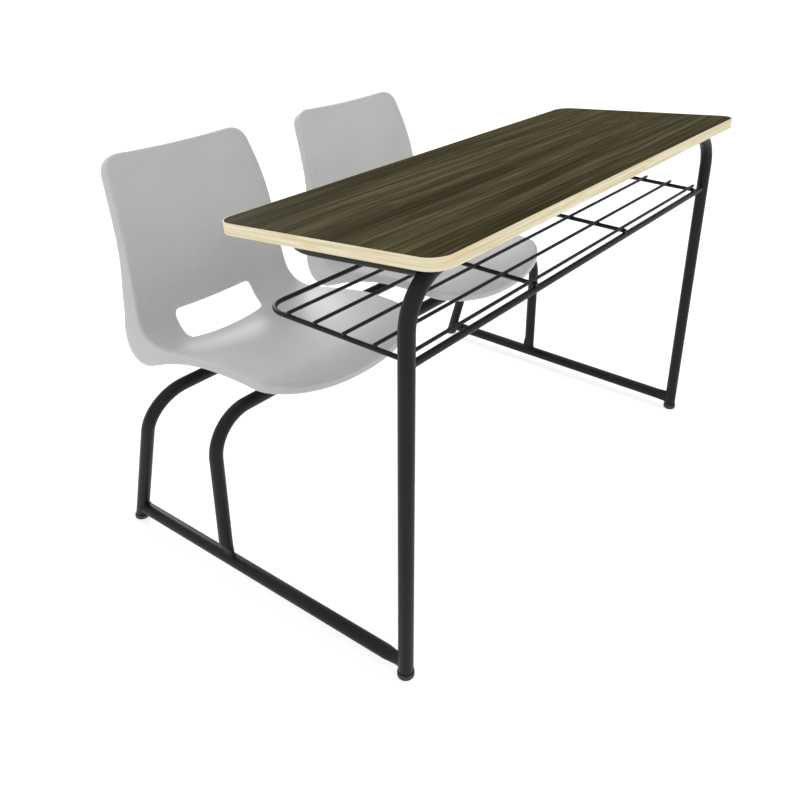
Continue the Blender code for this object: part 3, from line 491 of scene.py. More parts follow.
def pipe(name, outer, inner, nodes):
    verts, faces = [], []

    def put(r):
        first = len(verts)
        verts.extend(r)
        return [first + i for i in range(len(r))]
    o = [put(r) for r in outer]
    i = [put(r) for r in inner]
    for a, b in zip(o[:-1], o[1:]):
        faces.extend(band(a, b))
    for a, b in zip(i[:-1], i[1:]):
        faces.extend(band(b, a))
    faces.extend(band(i[0], o[0]))
    faces.extend(band(o[-1], i[-1]))
    return build(name, verts, faces, PAINT, nodes)


def bead(name, loop, r, seed):
    """A weld bead round a closed loop of points, with the ripples of the pass."""
    loop = np.asarray(loop, float)
    closed = np.vstack([loop, loop[:1]])
    seg = np.linalg.norm(np.diff(closed, axis=0), axis=1)
    s = np.concatenate([[0], np.cumsum(seg)])
    count = max(24, int(s[-1] / 0.0011))
    t = np.linspace(0, s[-1], count, endpoint=False)
    path = np.stack([np.interp(t, s, closed[:, k]) for k in range(3)], 1)
    for _ in range(3):
        path = 0.25 * np.roll(path, 1, 0) + 0.5 * path + 0.25 * np.roll(path, -1, 0)
    mid = path.mean(axis=0)
    rng = np.random.default_rng(seed)
    wob = rng.normal(0, 0.06, count)
    wob = (wob + np.roll(wob, 1) + np.roll(wob, -1)) / 3
    rings = []
    for k in range(count):
        w = unit(path[(k + 1) % count] - path[k - 1])
        e1 = path[k] - mid
        e1 = unit(e1 - w * np.dot(e1, w))
        e2 = np.cross(w, e1)
        rr = r * (1.0 + 0.10 * math.sin(2 * math.pi * t[k] / 0.0031) + wob[k])
        rings.append(ring(path[k] - e1 * 0.35 * r, e1, e2, rr, rr, 8))
    verts = [p for q in rings for p in q]
    faces = []
    n = len(rings)
    for k in range(n):
        a = [k * 8 + i for i in range(8)]
        b = [((k + 1) % n) * 8 + i for i in range(8)]
        faces.extend(band(a, b))
    return build(name, verts, faces, PAINT, sharp=80.0)


LEG_PTS, LEG_WAYS, LEG_NRM = u_path(LEG_X, 0.0, 0.0, LEG_RISE, LEG_BEND, (CAP_FLOOR + GAP, 0.2, 0.4))
LEG_LINE = u_path(LEG_X, 0.0, 0.0, LEG_RISE, LEG_BEND, (0.0,), 40)[0]
leg_far = far_from(LEG_LINE)
pipe("frame_front", rings_on(LEG_PTS, LEG_WAYS, LEG_NRM, LEG_R),
     rings_on(LEG_PTS, LEG_WAYS, LEG_NRM, LEG_R - WALL), ("front_frame",))

REAR_PTS, REAR_WAYS, REAR_NRM = u_path(REAR_X, REAR_FOOT_Y, REAR_LEAN, REAR_RISE, SEAT_BEND, (0.006, 0.1))
REAR_LINE = u_path(REAR_X, REAR_FOOT_Y, REAR_LEAN, REAR_RISE, SEAT_BEND, (0.0,), 40)[0]
rear_far = far_from(REAR_LINE)
sets = []
for r in (TUBE_R, TUBE_R - WALL):
    rs = rings_on(REAR_PTS, REAR_WAYS, REAR_NRM, r)
    rs[0] = cut_level(rs[0], REAR_WAYS[0], CAP_FLOOR + GAP)
    rs[-1] = cut_level(rs[-1], REAR_WAYS[-1], CAP_FLOOR + GAP)
    sets.append(rs)
pipe("frame_seat_rear", sets[0], sets[1], ("seat_tube_rear",))
REAR_RUN = np.array(REAR_PTS[2 + BEND_STEPS])

rail_far = far_from([(-RAIL_X, -0.1, RAIL_Z), (-RAIL_X, 0.9, RAIL_Z)])
rail_far_right = far_from([(RAIL_X, -0.1, RAIL_Z), (RAIL_X, 0.9, RAIL_Z)])
PINCH = (0.041, 0.0435, 0.046, 0.049, 0.052, 0.056, 0.060, 0.066, 0.074)
FRONT_PTS, FRONT_WAYS, FRONT_NRM = u_path(FRONT_X, FRONT_FOOT_Y, FRONT_LEAN, FRONT_RISE, SEAT_BEND, PINCH)
FRONT_RUN = np.array(FRONT_PTS[len(PINCH) + BEND_STEPS])


def ease(t):
    t = min(1.0, max(0.0, t))
    return t * t * (3 - 2 * t)


sets = []
for r in (TUBE_R, TUBE_R - WALL):
    thin, wide = 0.0060 + (r - TUBE_R), 0.0158 + (r - TUBE_R)
    count = len(FRONT_PTS)

    def pinch(k, r=r, thin=thin, wide=wide, count=count):
        side = -1.0 if k < count / 2 else 1.0
        near = min(k, count - 1 - k)
        if near >= len(PINCH) - 1:
            return None
        p = 1.0 - ease((PINCH[near] - PINCH[0]) / (PINCH[-1] - PINCH[0]) * 1.05)
        return r + (wide - r) * p, r + (thin - r) * p, EX * (-side * 0.0040 * p)
    rs = rings_on(FRONT_PTS, FRONT_WAYS, FRONT_NRM, r, shape=pinch)
    rs[0] = trim(rs[0], -FRONT_WAYS[0], rail_far, TUBE_R + SADDLE, 0.012)
    rs[-1] = trim(rs[-1], FRONT_WAYS[-1], rail_far_right, TUBE_R + SADDLE, 0.012)
    sets.append(rs)
pipe("frame_seat_front", sets[0], sets[1], ("seat_tube_front",))
bead("weld_seat_front_left", sets[0][0], 0.0018, 11)
bead("weld_seat_front_right", sets[0][-1], 0.0028, 12)

for side, tag in ((-1.0, "left"), (1.0, "right")):
    y1 = REAR_FOOT_Y + REAR_LEAN * RAIL_Z
    sets = []
    stations = [(LEG_R + 0.001 + 0.029 * t, 1.0 - ease(t)) for t in np.linspace(0, 1, 12)] + [(0.2, 0.0), (0.42, 0.0), (y1 - 0.02, 0.0)]
    for r in (TUBE_R, TUBE_R - WALL):
        thin, tall = 0.0065 + (r - TUBE_R), 0.0152 + (r - TUBE_R)
        rs = [ring((side * RAIL_X, y, RAIL_Z), EX, Z3, r + (thin - r) * p, r + (tall - r) * p, SIDES)
              for y, p in stations]
        rs[0] = trim(rs[0], -Y3, leg_far, LEG_R + SADDLE, 0.012)
        rs[-1] = trim(rs[-1], Y3, rear_far, TUBE_R + SADDLE, 0.030)
        sets.append(rs)
    pipe("frame_rail_" + tag, sets[0], sets[1], ("foot_rail_" + tag,))
    bead("weld_rail_front_" + tag, sets[0][0], 0.0018, 21 + int(side))
    bead("weld_rail_rear_" + tag, sets[0][-1], 0.0018, 31 + int(side))

hoop_h = UNDER - TUBE_R
pts, ways = [on_top(-HOOP_X, LEG_RUN_S + 0.02, hoop_h), on_top(-HOOP_X, LEG_RUN_S + 0.10, hoop_h)], [DOWN_SLOPE, DOWN_SLOPE]
for k in range(BEND_STEPS + 1):
    a = math.radians(90.0 * k / BEND_STEPS)
    cen = on_top(-HOOP_X + HOOP_BEND, HOOP_S - HOOP_BEND, hoop_h)
    pts.append(cen - EX * HOOP_BEND * math.cos(a) + DOWN_SLOPE * HOOP_BEND * math.sin(a))
    ways.append(DOWN_SLOPE * math.cos(a) + EX * math.sin(a))
mirror = np.array([-1.0, 1.0, 1.0])
pts += [p * mirror for p in pts[::-1]]
ways += [w * np.array([1.0, -1.0, -1.0]) for w in ways[::-1]]
sets = []
for r in (TUBE_R, TUBE_R - WALL):
    rs = rings_on(pts, ways, TOP_N, r)
    rs[0] = trim(rs[0], -ways[0], leg_far, LEG_R + SADDLE, 0.035)
    rs[-1] = trim(rs[-1], ways[-1], leg_far, LEG_R + SADDLE, 0.035)
    sets.append(rs)
pipe("frame_hoop", sets[0], sets[1], ("top_hoop",))
for tag, loop, seed in (("left", sets[0][0], 41), ("right", sets[0][-1], 42)):
    low = np.array([p if np.dot(p - LEG_RUN, TOP_N) < LEG_R - 0.0030 else
                    p - TOP_N * (np.dot(p - LEG_RUN, TOP_N) - LEG_R + 0.0030) for p in loop])
    bead("weld_hoop_" + tag, low, 0.0018, seed)


# ------------------------------------------------------------------- foot caps
def turned(name, profile, base, axis, mat, nodes, segs=48, stretch=None, sharp=50.0):
    axis = np.asarray(axis, float)
    e1 = EX
    e2 = unit(np.cross(axis, e1)) if stretch is None else np.array([0.0, stretch, 0.0])
    verts, faces, rows = [], [], []
    for r, h in profile:
        c = np.asarray(base, float) + axis * h
        if r <= 0:
            rows.append([len(verts)])
            verts.append(c)
        else:
            rows.append(list(range(len(verts), len(verts) + segs)))
            verts.extend(ring(c, e1, e2, r, r, segs))
    for a, b in zip(rows[:-1], rows[1:]):
        if len(a) == 1:
            faces.extend((a[0], b[i], b[(i + 1) % segs]) for i in range(segs))
        elif len(b) == 1:
            faces.extend((a[i], b[0], a[(i + 1) % segs]) for i in range(segs))
        else:
            faces.extend(band(a, b))
    return build(name, verts, faces, mat, nodes, sharp=sharp)


for tag, x, y, lean, r_in in (("front_left", -LEG_X, 0.0, 0.0, LEG_R), ("front_right", LEG_X, 0.0, 0.0, LEG_R),
                              ("rear_left", -REAR_X, REAR_FOOT_Y, REAR_LEAN, TUBE_R),
                              ("rear_right", REAR_X, REAR_FOOT_Y, REAR_LEAN, TUBE_R)):
    r_out = r_in + CAP_R - LEG_R
    inner = r_in + GAP
    profile = [(0, 0.0), (r_out - 0.0048, 0.0)]
    for k in range(1, 8):                                   # rounded sole
        a = math.radians(90.0 * k / 7)
        profile.append((r_out - 0.0048 + 0.0048 * math.sin(a), 0.0048 * (1 - math.cos(a))))
    profile += [(r_out, CAP_H - 0.0010), (r_out - 0.0003, CAP_H - 0.0003), (r_out - 0.0010, CAP_H),
                (inner, CAP_H), (inner, CAP_FLOOR), (0, CAP_FLOOR)]
    turned("cap_" + tag, profile, (x, y, 0.0), (0.0, lean, 1.0), RUBBER,
           ("foot_cap_" + tag,), stretch=math.hypot(1.0, lean))

# -------------------------------------------------------------------- book rack
ROD_Z = STRETCH_Z + STRETCH_R + GAP + ROD_R
WIRE_Z = ROD_Z + ROD_R + GAP + WIRE_R


def bar(name, rings, nodes, chamfer0=None, chamfer1=None):
    """Solid round bar. A chamfer is (way out, size) for a plain sawn end; an end shaped to a tube comes already
    trimmed and gets no chamfer."""
    rings = list(rings)
    n = len(rings[0])
    if chamfer0 is not None:
        way, c = chamfer0
        r = rings[0]
        m = r.mean(axis=0)
        k = 1.0 - c / np.linalg.norm(r[0] - m)
        rings = [m + (r - m) * k] + [r - way * c] + rings[1:]
    if chamfer1 is not None:
        way, c = chamfer1
        r = rings[-1]
        m = r.mean(axis=0)
        k = 1.0 - c / np.linalg.norm(r[0] - m)
        rings = rings[:-1] + [r - way * c] + [m + (r - m) * k]
    verts = [p for r in rings for p in r]
    faces = []
    for k in range(len(rings) - 1):
        faces.extend(band([k * n + i for i in range(n)], [(k + 1) * n + i for i in range(n)]))
    for end, flip in ((0, True), (len(rings) - 1, False)):
        verts.append(rings[end].mean(axis=0))
        c = len(verts) - 1
        for i in range(n):
            j = (i + 1) % n
            faces.append((end * n + j, end * n + i, c) if flip else (end * n + i, end * n + j, c))
    return build(name, verts, faces, PAINT, nodes, sharp=30.0)


def straight(name, a, b, r, nodes, stop0=None, stop1=None, sides=20):
    a, b = np.asarray(a, float), np.asarray(b, float)
    w = unit(b - a)
    e1 = unit(np.cross(w, Z3))
    e2 = np.cross(w, e1)
    r0, r1 = ring(a, e1, e2, r, r, sides), ring(b, e1, e2, r, r, sides)
    c0, c1 = (-w, 0.0006), (w, 0.0006)
    if stop0 is not None:
        r0, c0 = trim(r0, -w, stop0[0], stop0[1], 0.02), None
    if stop1 is not None:
        r1, c1 = trim(r1, w, stop1[0], stop1[1], 0.02), None
    bar(name, [r0, r1], nodes, c0, c1)
    return r0, r1


leg_stop = (leg_far, LEG_R + SADDLE)
e0, e1 = straight("rack_stretcher", (-LEG_X + LEG_R + 0.004, STRETCH_Y, STRETCH_Z),
                  (LEG_X - LEG_R - 0.004, STRETCH_Y, STRETCH_Z), STRETCH_R, ("stretcher",), leg_stop, leg_stop, 28)
bead("weld_stretcher_left", e0, 0.0016, 51)
bead("weld_stretcher_right", e1, 0.0016, 52)

rim_pts, rim_ways = [np.array([RIM_X0, LEG_R + 0.003, ROD_Z])], [Y3]
for k in range(15):
    a = math.radians(90.0 * k / 14)
    rim_pts.append(np.array([RIM_X0 + RIM_BEND * (1 - math.cos(a)), RIM_Y - RIM_BEND * (1 - math.sin(a)), ROD_Z]))
    rim_ways.append(Y3 * math.cos(a) + EX * math.sin(a))
for k in range(15):
    a = math.radians(90.0 * k / 14)
    rim_pts.append(np.array([RIM_X1 - RIM_BEND * (1 - math.sin(a)), RIM_Y - RIM_BEND * (1 - math.cos(a)), ROD_Z]))
    rim_ways.append(EX * math.cos(a) - Y3 * math.sin(a))
rim_pts.append(np.array([RIM_X1, STRETCH_Y - 0.004, ROD_Z]))
rim_ways.append(-Y3)
rim_rings = rings_on(rim_pts, rim_ways, Z3, ROD_R, 20)
rim_rings[0] = trim(rim_rings[0], -Y3, leg_far, LEG_R + SADDLE, 0.01)
bar("rack_rim_rod", rim_rings, ("rack_rim",), None, (-Y3, 0.0006))
bead("weld_rim_leg", rim_rings[0], 0.0012, 53)
rim_far = far_from(rim_pts)
for n, x in enumerate(CROSS_X):
    e0, e1 = straight("rack_rod_%d" % (n + 1), (x, STRETCH_Y - 0.004, ROD_Z), (x, RIM_Y - ROD_R - 0.003, ROD_Z),
                      ROD_R, ("rack_cross_rod_%d" % (n + 1),), None, (rim_far, ROD_R + SADDLE))
    bead("weld_rod_rim_%d" % (n + 1), e1, 0.0010, 60 + n)
for n, y in enumerate(WIRE_Y):
    last = n == len(WIRE_Y) - 1
    x0 = -LEG_X + LEG_R + 0.003 if last else RIM_X0 - ROD_R
    straight("rack_long_wire_%d" % (n + 1), (x0, y, WIRE_Z), (WIRE_END, y, WIRE_Z), WIRE_R,
             ("rack_wire_%d" % (n + 1),), leg_stop if last else None, None, 16)

# resistance-weld nuggets where wires cross rods, and rods cross the stretcher
verts, faces = [], []


def nugget(c, a, b, h, seed):
    rng = np.random.default_rng(seed)
    n, m = 12, 6
    first = len(verts)
    verts.append(np.array(c) + Z3 * h)
    for j in range(1, m):
        t = math.pi * j / m
        for i in range(n):
            u = 2 * math.pi * i / n
            k = 1 + rng.normal(0, 0.04)
            verts.append(np.array(c) + np.array([a * math.sin(t) * math.cos(u) * k,
                                                 b * math.sin(t) * math.sin(u) * k, h * math.cos(t)]))
    verts.append(np.array(c) - Z3 * h)
    last = len(verts) - 1
    for i in range(n):
        faces.append((first, first + 1 + i, first + 1 + (i + 1) % n))
        faces.append((last, first + 1 + (m - 2) * n + (i + 1) % n, first + 1 + (m - 2) * n + i))
    for j in range(m - 2):
        a0 = first + 1 + j * n
        for i in range(n):
            k = (i + 1) % n
            faces.append((a0 + i, a0 + n + i, a0 + n + k, a0 + k))


seed = 100
for y in WIRE_Y:
    for x in (RIM_X0, *CROSS_X, RIM_X1):
        if y < 0.01 and x < -0.5:
            continue
        seed += 1
        nugget((x, y, ROD_Z + ROD_R + 0.0002), 0.0024, 0.0024, 0.0014, seed)
for x in (*CROSS_X, RIM_X1):
    seed += 1
    nugget((x, STRETCH_Y, STRETCH_Z + STRETCH_R + 0.0002), 0.0036, 0.0036, 0.0018, seed)
build("rack_nuggets", verts, faces, PAINT, orient=False, sharp=None)


# ----------------------------------------------------------------------- desktop
def rounded(w, h, r, x0=0.0, y0=0.0, segs=6):
    out = []
    for cx, cy, a0 in ((w - r, r, -90), (w - r, h - r, 0), (r, h - r, 90), (r, r, 180)):
        for k in range(segs + 1):
            a = math.radians(a0 + 90 * k / segs)
            out.append((x0 + cx + r * math.cos(a), y0 + cy + r * math.sin(a)))
    return out


def inset(d, segs=20):
    return rounded(TOP_L - 2 * d, TOP_W - 2 * d, TOP_R - d, -TOP_L / 2 + d, d, segs)


# laminate sheet: flat face, a hairline step down to the band
verts, faces, rows = [], [], []
core_in = BAND_T + GAP
for d, h in ((core_in, -SKIN_T), (core_in, -0.00018), (core_in + 0.00018, 0.0)):
    loop = inset(d)
    rows.append([len(verts) + i for i in range(len(loop))])
    verts.extend(on_top(a, b, h) for a, b in loop)
for a, b in zip(rows[:-1], rows[1:]):
    faces.extend(band(a, b))
faces.append(tuple(rows[0])[::-1])
faces.append(tuple(rows[-1]))
build("top_laminate", verts, faces, LAMINATE, ("desktop_laminate",), sharp=30.0)

# edge band with eased arrises
R = 0.0008
prof = [(core_in - 0.0001, 0.0)]
for k in range(6):
    a = math.radians(90.0 * k / 5)
    prof.append((R * (1 - math.sin(a)), -R * (1 - math.cos(a))))
for k in range(6):
    a = math.radians(90.0 * k / 5)
    prof.append((R * (1 - math.cos(a)), -TOP_T + R * (1 - math.sin(a))))
prof.append((core_in - 0.0001, -TOP_T))
verts, faces, rows = [], [], []
for d, h in prof:
    loop = inset(d)
    rows.append([len(verts) + i for i in range(len(loop))])
    verts.extend(on_top(a, b, h) for a, b in loop)
for k in range(len(rows)):
    faces.extend(band(rows[k], rows[(k + 1) % len(rows)]))
build("top_edge_band", verts, faces, BAND, ("desktop_edge_band",), sharp=60.0)

for name, mat in (("desktop_core", BOARD), ("desktop_backer", BACKER)):
    o = NODES[name]
    o.data.materials.clear()
    o.data.materials.append(mat)

# tabs and straps keep their CAD shape, with eased edges
for name, o in NODES.items():
    if name.startswith("desktop_tab_") or name.startswith("seat_strap_"):
        o.data.materials.clear()
        o.data.materials.append(PAINT)
        mod = o.modifiers.new("ease", "BEVEL")
        mod.width = 0.0004
        mod.segments = 2
        mod.limit_method = "ANGLE"
        mod.angle_limit = math.radians(50)


# ------------------------------------------------------------------------ screws
def screw(name, node, base, axis, length):
    """Pan head with a cross recess, head down, on the given foot point."""
    axis = unit(axis)
    e1 = unit(np.cross(axis, EX)) if abs(axis[0]) < 0.9 else Y3
    e2 = np.cross(axis, e1)
    segs = 32
    rows = [(0.0002, 0.00035), (0.0012, 0.00030), (0.0022, 0.00012), (0.0030, 0.00006), (0.0038, 0.00035), (0.0044, 0.0010),
            (0.0048, 0.0018), (0.0048, 0.0024), (0.0022, 0.0024), (0.0022, 0.0024 + length), (0.0004, 0.0038 + length)]
    verts, faces, ids = [], [], []
    for j, (r, h) in enumerate(rows):
        row = []
        for i in range(segs):
            u = 2 * math.pi * i / segs
            deep = 0.0
            if j < 3:
                arm = max(abs(math.cos(2 * u)), 0.0) ** 6
                deep = 0.0012 * (arm if j == 1 else (1.0 if j == 0 else 0.25 * arm))
            p = base + axis * (h + deep) + e1 * r * math.cos(u) + e2 * r * math.sin(u)
            row.append(len(verts))
            verts.append(p)
        ids.append(row)
    for a, b in zip(ids[:-1], ids[1:]):
        faces.extend(band(a, b))
    faces.append(tuple(ids[0])[::-1])
    faces.append(tuple(ids[-1]))
    return build(name, verts, faces, ZINC, (node,), sharp=45.0)


tabs = []
for sx in (-1.0, 1.0):
    tabs.append((sx * 0.300, LEG_RUN_S, 0.0, 1.0))
    tabs.append((sx * 0.300, HOOP_S, 0.0, -1.0))
    tabs.append((sx * HOOP_X, 0.5 * (LEG_RUN_S + HOOP_S) - 0.02, -sx, 0.0))
for n, (x, s, dx, ds) in enumerate(tabs):
    head = on_top(x + dx * 0.0225, s + ds * 0.0225, UNDER - 0.0025 - GAP - 0.0024)
    screw("top_screw_%d" % (n + 1), "desktop_screw_%d" % (n + 1), head, TOP_N, 0.0110)

STRAP_DIR = unit(REAR_RUN * (0, 1, 1) - FRONT_RUN * (0, 1, 1))
STRAP_N = np.array([0.0, -STRAP_DIR[2], STRAP_DIR[1]])
STRAP_AT = FRONT_RUN * (0, 1, 1) + STRAP_N * (TUBE_R + GAP)


def on_strap(x, t, h):
    return STRAP_AT + EX * x + STRAP_DIR * t + STRAP_N * h


# ------------------------------------------------------------------- seat shells
def smooth_curve(knots, n=600):
    p = np.asarray(knots, float)
    p = np.vstack([2 * p[0] - p[1], p, 2 * p[-1] - p[-2]])
    out = []
    for i in range(1, len(p) - 2):
        t = np.linspace(0, 1, 60, endpoint=False)[:, None]
        a, b, c, d = p[i - 1], p[i], p[i + 1], p[i + 2]
        out.append(0.5 * (2 * b + (c - a) * t + (2 * a - 5 * b + 4 * c - d) * t ** 2
                          + (3 * b - a - 3 * c + d) * t ** 3))
    out = np.vstack(out + [p[-2][None]])
    s = np.concatenate([[0], np.cumsum(np.linalg.norm(np.diff(out, axis=0), axis=1))])
    even = np.linspace(0, s[-1], n)
    return even, np.stack([np.interp(even, s, out[:, k]) for k in range(out.shape[1])], 1)


EDGE_S, EDGE_P = smooth_curve(SHELL_EDGE)
EDGE_LEN = float(EDGE_S[-1])
kernel = np.hanning(41) / np.hanning(41).sum()


def tangents(points):
    t = np.gradient(points, EDGE_S, axis=0)
    t = np.stack([np.convolve(np.pad(t[:, k], 20, mode="edge"), kernel, "valid") for k in range(2)], 1)
    return t / np.linalg.norm(t, axis=1)[:, None]


RIM_T = tangents(EDGE_P)                    # the rim hangs upright under the rolled front
EDGE_P[:, 1] -= FALL * np.maximum(0.0, (FALL_S - EDGE_S) / (FALL_S - FRONT_S)) ** 2
EDGE_T = tangents(EDGE_P)


def table(knots):
    k = np.asarray(knots, float)
    v = np.interp(EDGE_S, k[:, 0], k[:, 1])
    v = np.convolve(np.pad(v, 30, mode="edge"), np.hanning(61) / np.hanning(61).sum(), "valid")
    return lambda s: np.interp(s, EDGE_S, v)


half_width, hollow, rim_depth = table(SHELL_WIDTH), table(SHELL_HOLLOW), table(SHELL_RIM)


def face_points(x, s):
    """Points of the sitting face for arrays of x and s."""
    x, s = np.atleast_1d(np.asarray(x, float)), np.atleast_1d(np.asarray(s, float))
    y, z = np.interp(s, EDGE_S, EDGE_P[:, 0]), np.interp(s, EDGE_S, EDGE_P[:, 1])
    under, over = np.minimum(s, 0.0), np.maximum(s - EDGE_LEN, 0.0)
    y = y + under * EDGE_T[0, 0] + over * EDGE_T[-1, 0]
    z = z + under * EDGE_T[0, 1] + over * EDGE_T[-1, 1]
    ty, tz = np.interp(s, EDGE_S, EDGE_T[:, 0]), np.interp(s, EDGE_S, EDGE_T[:, 1])
    q = np.hypot(ty, tz)
    deep = hollow(s) * (1.0 - np.minimum(1.0, np.abs(x) / half_width(s)) ** 2.2)
    return np.stack([x, y + deep * tz / q, z - deep * ty / q], 1)


def frames_at(x, s):
    e = 0.0030
    x, s = np.atleast_1d(np.asarray(x, float)), np.atleast_1d(np.asarray(s, float))
    dx = face_points(x + e, s) - face_points(x - e, s)
    ds = face_points(x, s + e) - face_points(x, s - e)
    dx /= np.linalg.norm(dx, axis=1)[:, None]
    ds /= np.linalg.norm(ds, axis=1)[:, None]
    back = np.cross(ds, dx)
    back /= np.linalg.norm(back, axis=1)[:, None]
    return dx, ds, back


def shell_outline(fold):
    """Outline of the face where a rounding of that radius starts; the outside of
    the rim is in the same place for every radius."""
    pull = fold - 0.3 * FOLD_R
    nose_pull = fold - 0.58 * FOLD_R
    right = []
    for k in range(41):
        a = math.radians(90.0 * k / 40)
        s = FRONT_S + (NOSE - FRONT_S) * (1 - math.cos(a) ** 0.93)
        x = (float(half_width(s)) - pull) * math.sin(a) ** 0.93
        right.append((x, s + nose_pull * math.cos(a), 1.0))
    s_top = EDGE_LEN - TOP_CORNER
    for s in np.linspace(NOSE, s_top, 110)[1:-1]:
        right.append((float(half_width(s)) - pull, s, 1.0))
    w = float(half_width(s_top)) - pull
    for k in range(17):
        a = math.radians(90.0 * k / 16)
        t = max(0.0, (a - 0.3) / (0.5 * math.pi - 0.3))   # the rim thins out round the corner
        right.append((w - TOP_CORNER * (1 - math.cos(a)), s_top + (TOP_CORNER - pull) * math.sin(a),
                      1.0 - t * t * (3 - 2 * t)))
    flat = w - TOP_CORNER
    for k in range(1, 21):
        right.append((flat * (1 - k / 20), EDGE_LEN - pull, 0.0))
    pts = []
    for x, s, keep in right:
        sag = TOP_DIP * (1 - (x / w) ** 2) * (1 - keep) if s > s_top else 0.0
        pts.append((x, s - sag, keep * float(rim_depth(s)) + (1 - keep) * TOP_RIM))
    left = [(-x, s, d) for x, s, d in pts[1:-1][::-1]]
    pts = np.array(pts + left)
    # even spacing round the whole outline
    closed = np.vstack([pts, pts[:1]])
    t = np.concatenate([[0], np.cumsum(np.hypot(*np.diff(closed[:, :2], axis=0).T))])
    count = 420
    u = np.linspace(0, t[-1], count, endpoint=False)
    out = np.stack([np.interp(u, t, closed[:, k]) for k in range(3)], 1)
    for _ in range(2):
        out = 0.25 * np.roll(out, 1, 0) + 0.5 * out + 0.25 * np.roll(out, -1, 0)
    return out


CAD_OUTLINE = shell_outline(FOLD_R)
OUTLINE = shell_outline(ROLL_R)
LEDGE = 0.0095                              # strip between the sheet and the rounding


def step_in(outline, d):
    """The outline moved inwards by d, measured on the face."""
    nxt, prv = np.roll(outline, -1, 0), np.roll(outline, 1, 0)
    t = nxt[:, :2] - prv[:, :2]
    t /= np.linalg.norm(t, axis=1)[:, None]
    out = outline.copy()
    out[:, 0] -= t[:, 1] * d
    out[:, 1] += t[:, 0] * d
    return out


SHEET_EDGE = step_in(OUTLINE, LEDGE)


def slot_at(grow, count=150):
    """The slot's outline in (x, s), grown outwards by that much."""
    half, low, high, r = SLOT_HALF + grow, SLOT_LOW - grow, SLOT_HIGH + grow, SLOT_R + grow
    loop = np.array(rounded(2 * half, high - low, r, -half, low, 10))
    closed = np.vstack([loop, loop[:1]])
    t = np.concatenate([[0], np.cumsum(np.hypot(*np.diff(closed, axis=0).T))])
    u = np.linspace(0, t[-1], count, endpoint=False)
    loop = np.stack([np.interp(u, t, closed[:, k]) for k in range(2)], 1)
    loop[:, 1] -= SLOT_SAG * (1 - np.minimum(1.0, np.abs(loop[:, 0]) / SLOT_HALF) ** 2)
    return loop


def inside_mask(p, loop):
    x, y = p[:, 0], p[:, 1]
    hit = np.zeros(len(p), bool)
    a, b = loop, np.roll(loop, -1, 0)
    for (x1, y1), (x2, y2) in zip(a, b):
        if y1 == y2:
            continue
        cross = ((y1 > y) != (y2 > y)) & (x < (x2 - x1) * (y - y1) / (y2 - y1) + x1)
        hit ^= cross
    return hit


def nearest(p, loop):
    best = np.full(len(p), 9.0)
    a, b = loop, np.roll(loop, -1, 0)
    for q, r in zip(a, b):
        d = r - q
        t = np.clip(((p - q) @ d) / max(d @ d, 1e-12), 0, 1)
        best = np.minimum(best, np.hypot(*(p - (q + t[:, None] * d)).T))
    return best


def mesh_flat(outer, holes, step):
    loops = [np.asarray(outer, float)] + [np.asarray(h, float) for h in holes]
    rows = []
    for j, s in enumerate(np.arange(0.002, EDGE_LEN, step * 0.87)):
        xs = np.arange(-0.23, 0.23, step) + (step / 2 if j % 2 else 0)
        rows.append(np.stack([xs, np.full(len(xs), s)], 1))
    grid = np.vstack(rows)
    keep = inside_mask(grid, loops[0])
    for h in loops[1:]:
        keep &= ~inside_mask(grid, h)
    grid = grid[keep]
    for l in loops:
        grid = grid[nearest(grid, l) > 0.55 * step]
    pts, edges, ids = [], [], []
    for l in loops:
        first = len(pts)
        pts.extend(map(tuple, l))
        edges.extend((first + i, first + (i + 1) % len(l)) for i in range(len(l)))
        ids.append(list(range(first, first + len(l))))
    pts.extend(map(tuple, grid))
    got = geometry.delaunay_2d_cdt([Vector(p) for p in pts], edges, [], 0, 1e-7)
    new, tris, origin = got[0], got[2], got[3]
    back = {}
    for i, src in enumerate(origin):
        for o in src:
            back[o] = i
    flat = np.array([(v[0], v[1]) for v in new])
    tris = np.array([tuple(t) for t in tris])
    cen = flat[tris].mean(axis=1)
    good = inside_mask(cen, loops[0])
    for h in loops[1:]:
        good &= ~inside_mask(cen, h)
    return flat, [tuple(t) for t in tris[good]], [[back[i] for i in l] for l in ids]


def circle(cx, cy, r, n):
    return [(cx + r * math.cos(2 * math.pi * i / n), cy + r * math.sin(2 * math.pi * i / n)) for i in range(n)]


BOSS_LOOPS, BOSS_AXES = [], []
for sx in (-1.0, 1.0):
    for t in BOSS_AT:
        ss = np.linspace(0.05, 0.45, 401)
        along = (face_points(np.full(401, sx * BOSS_X), ss) - on_strap(0.0, t, 0.0)) @ STRAP_DIR
        where = float(ss[int(np.argmin(np.abs(along)))])
        BOSS_LOOPS.append(circle(sx * BOSS_X, where, BOSS_R, 32))
        BOSS_AXES.append((sx * BOSS_X, t))

LIP = 0.0016           # rounding of the slot's edges
STEP = 0.0085
FRONT_SHEET = mesh_flat(SHEET_EDGE[:, :2], [slot_at(LIP)], STEP)
BACK_SHEET = mesh_flat(OUTLINE[:, :2], [slot_at(LIP)] + BOSS_LOOPS, STEP)


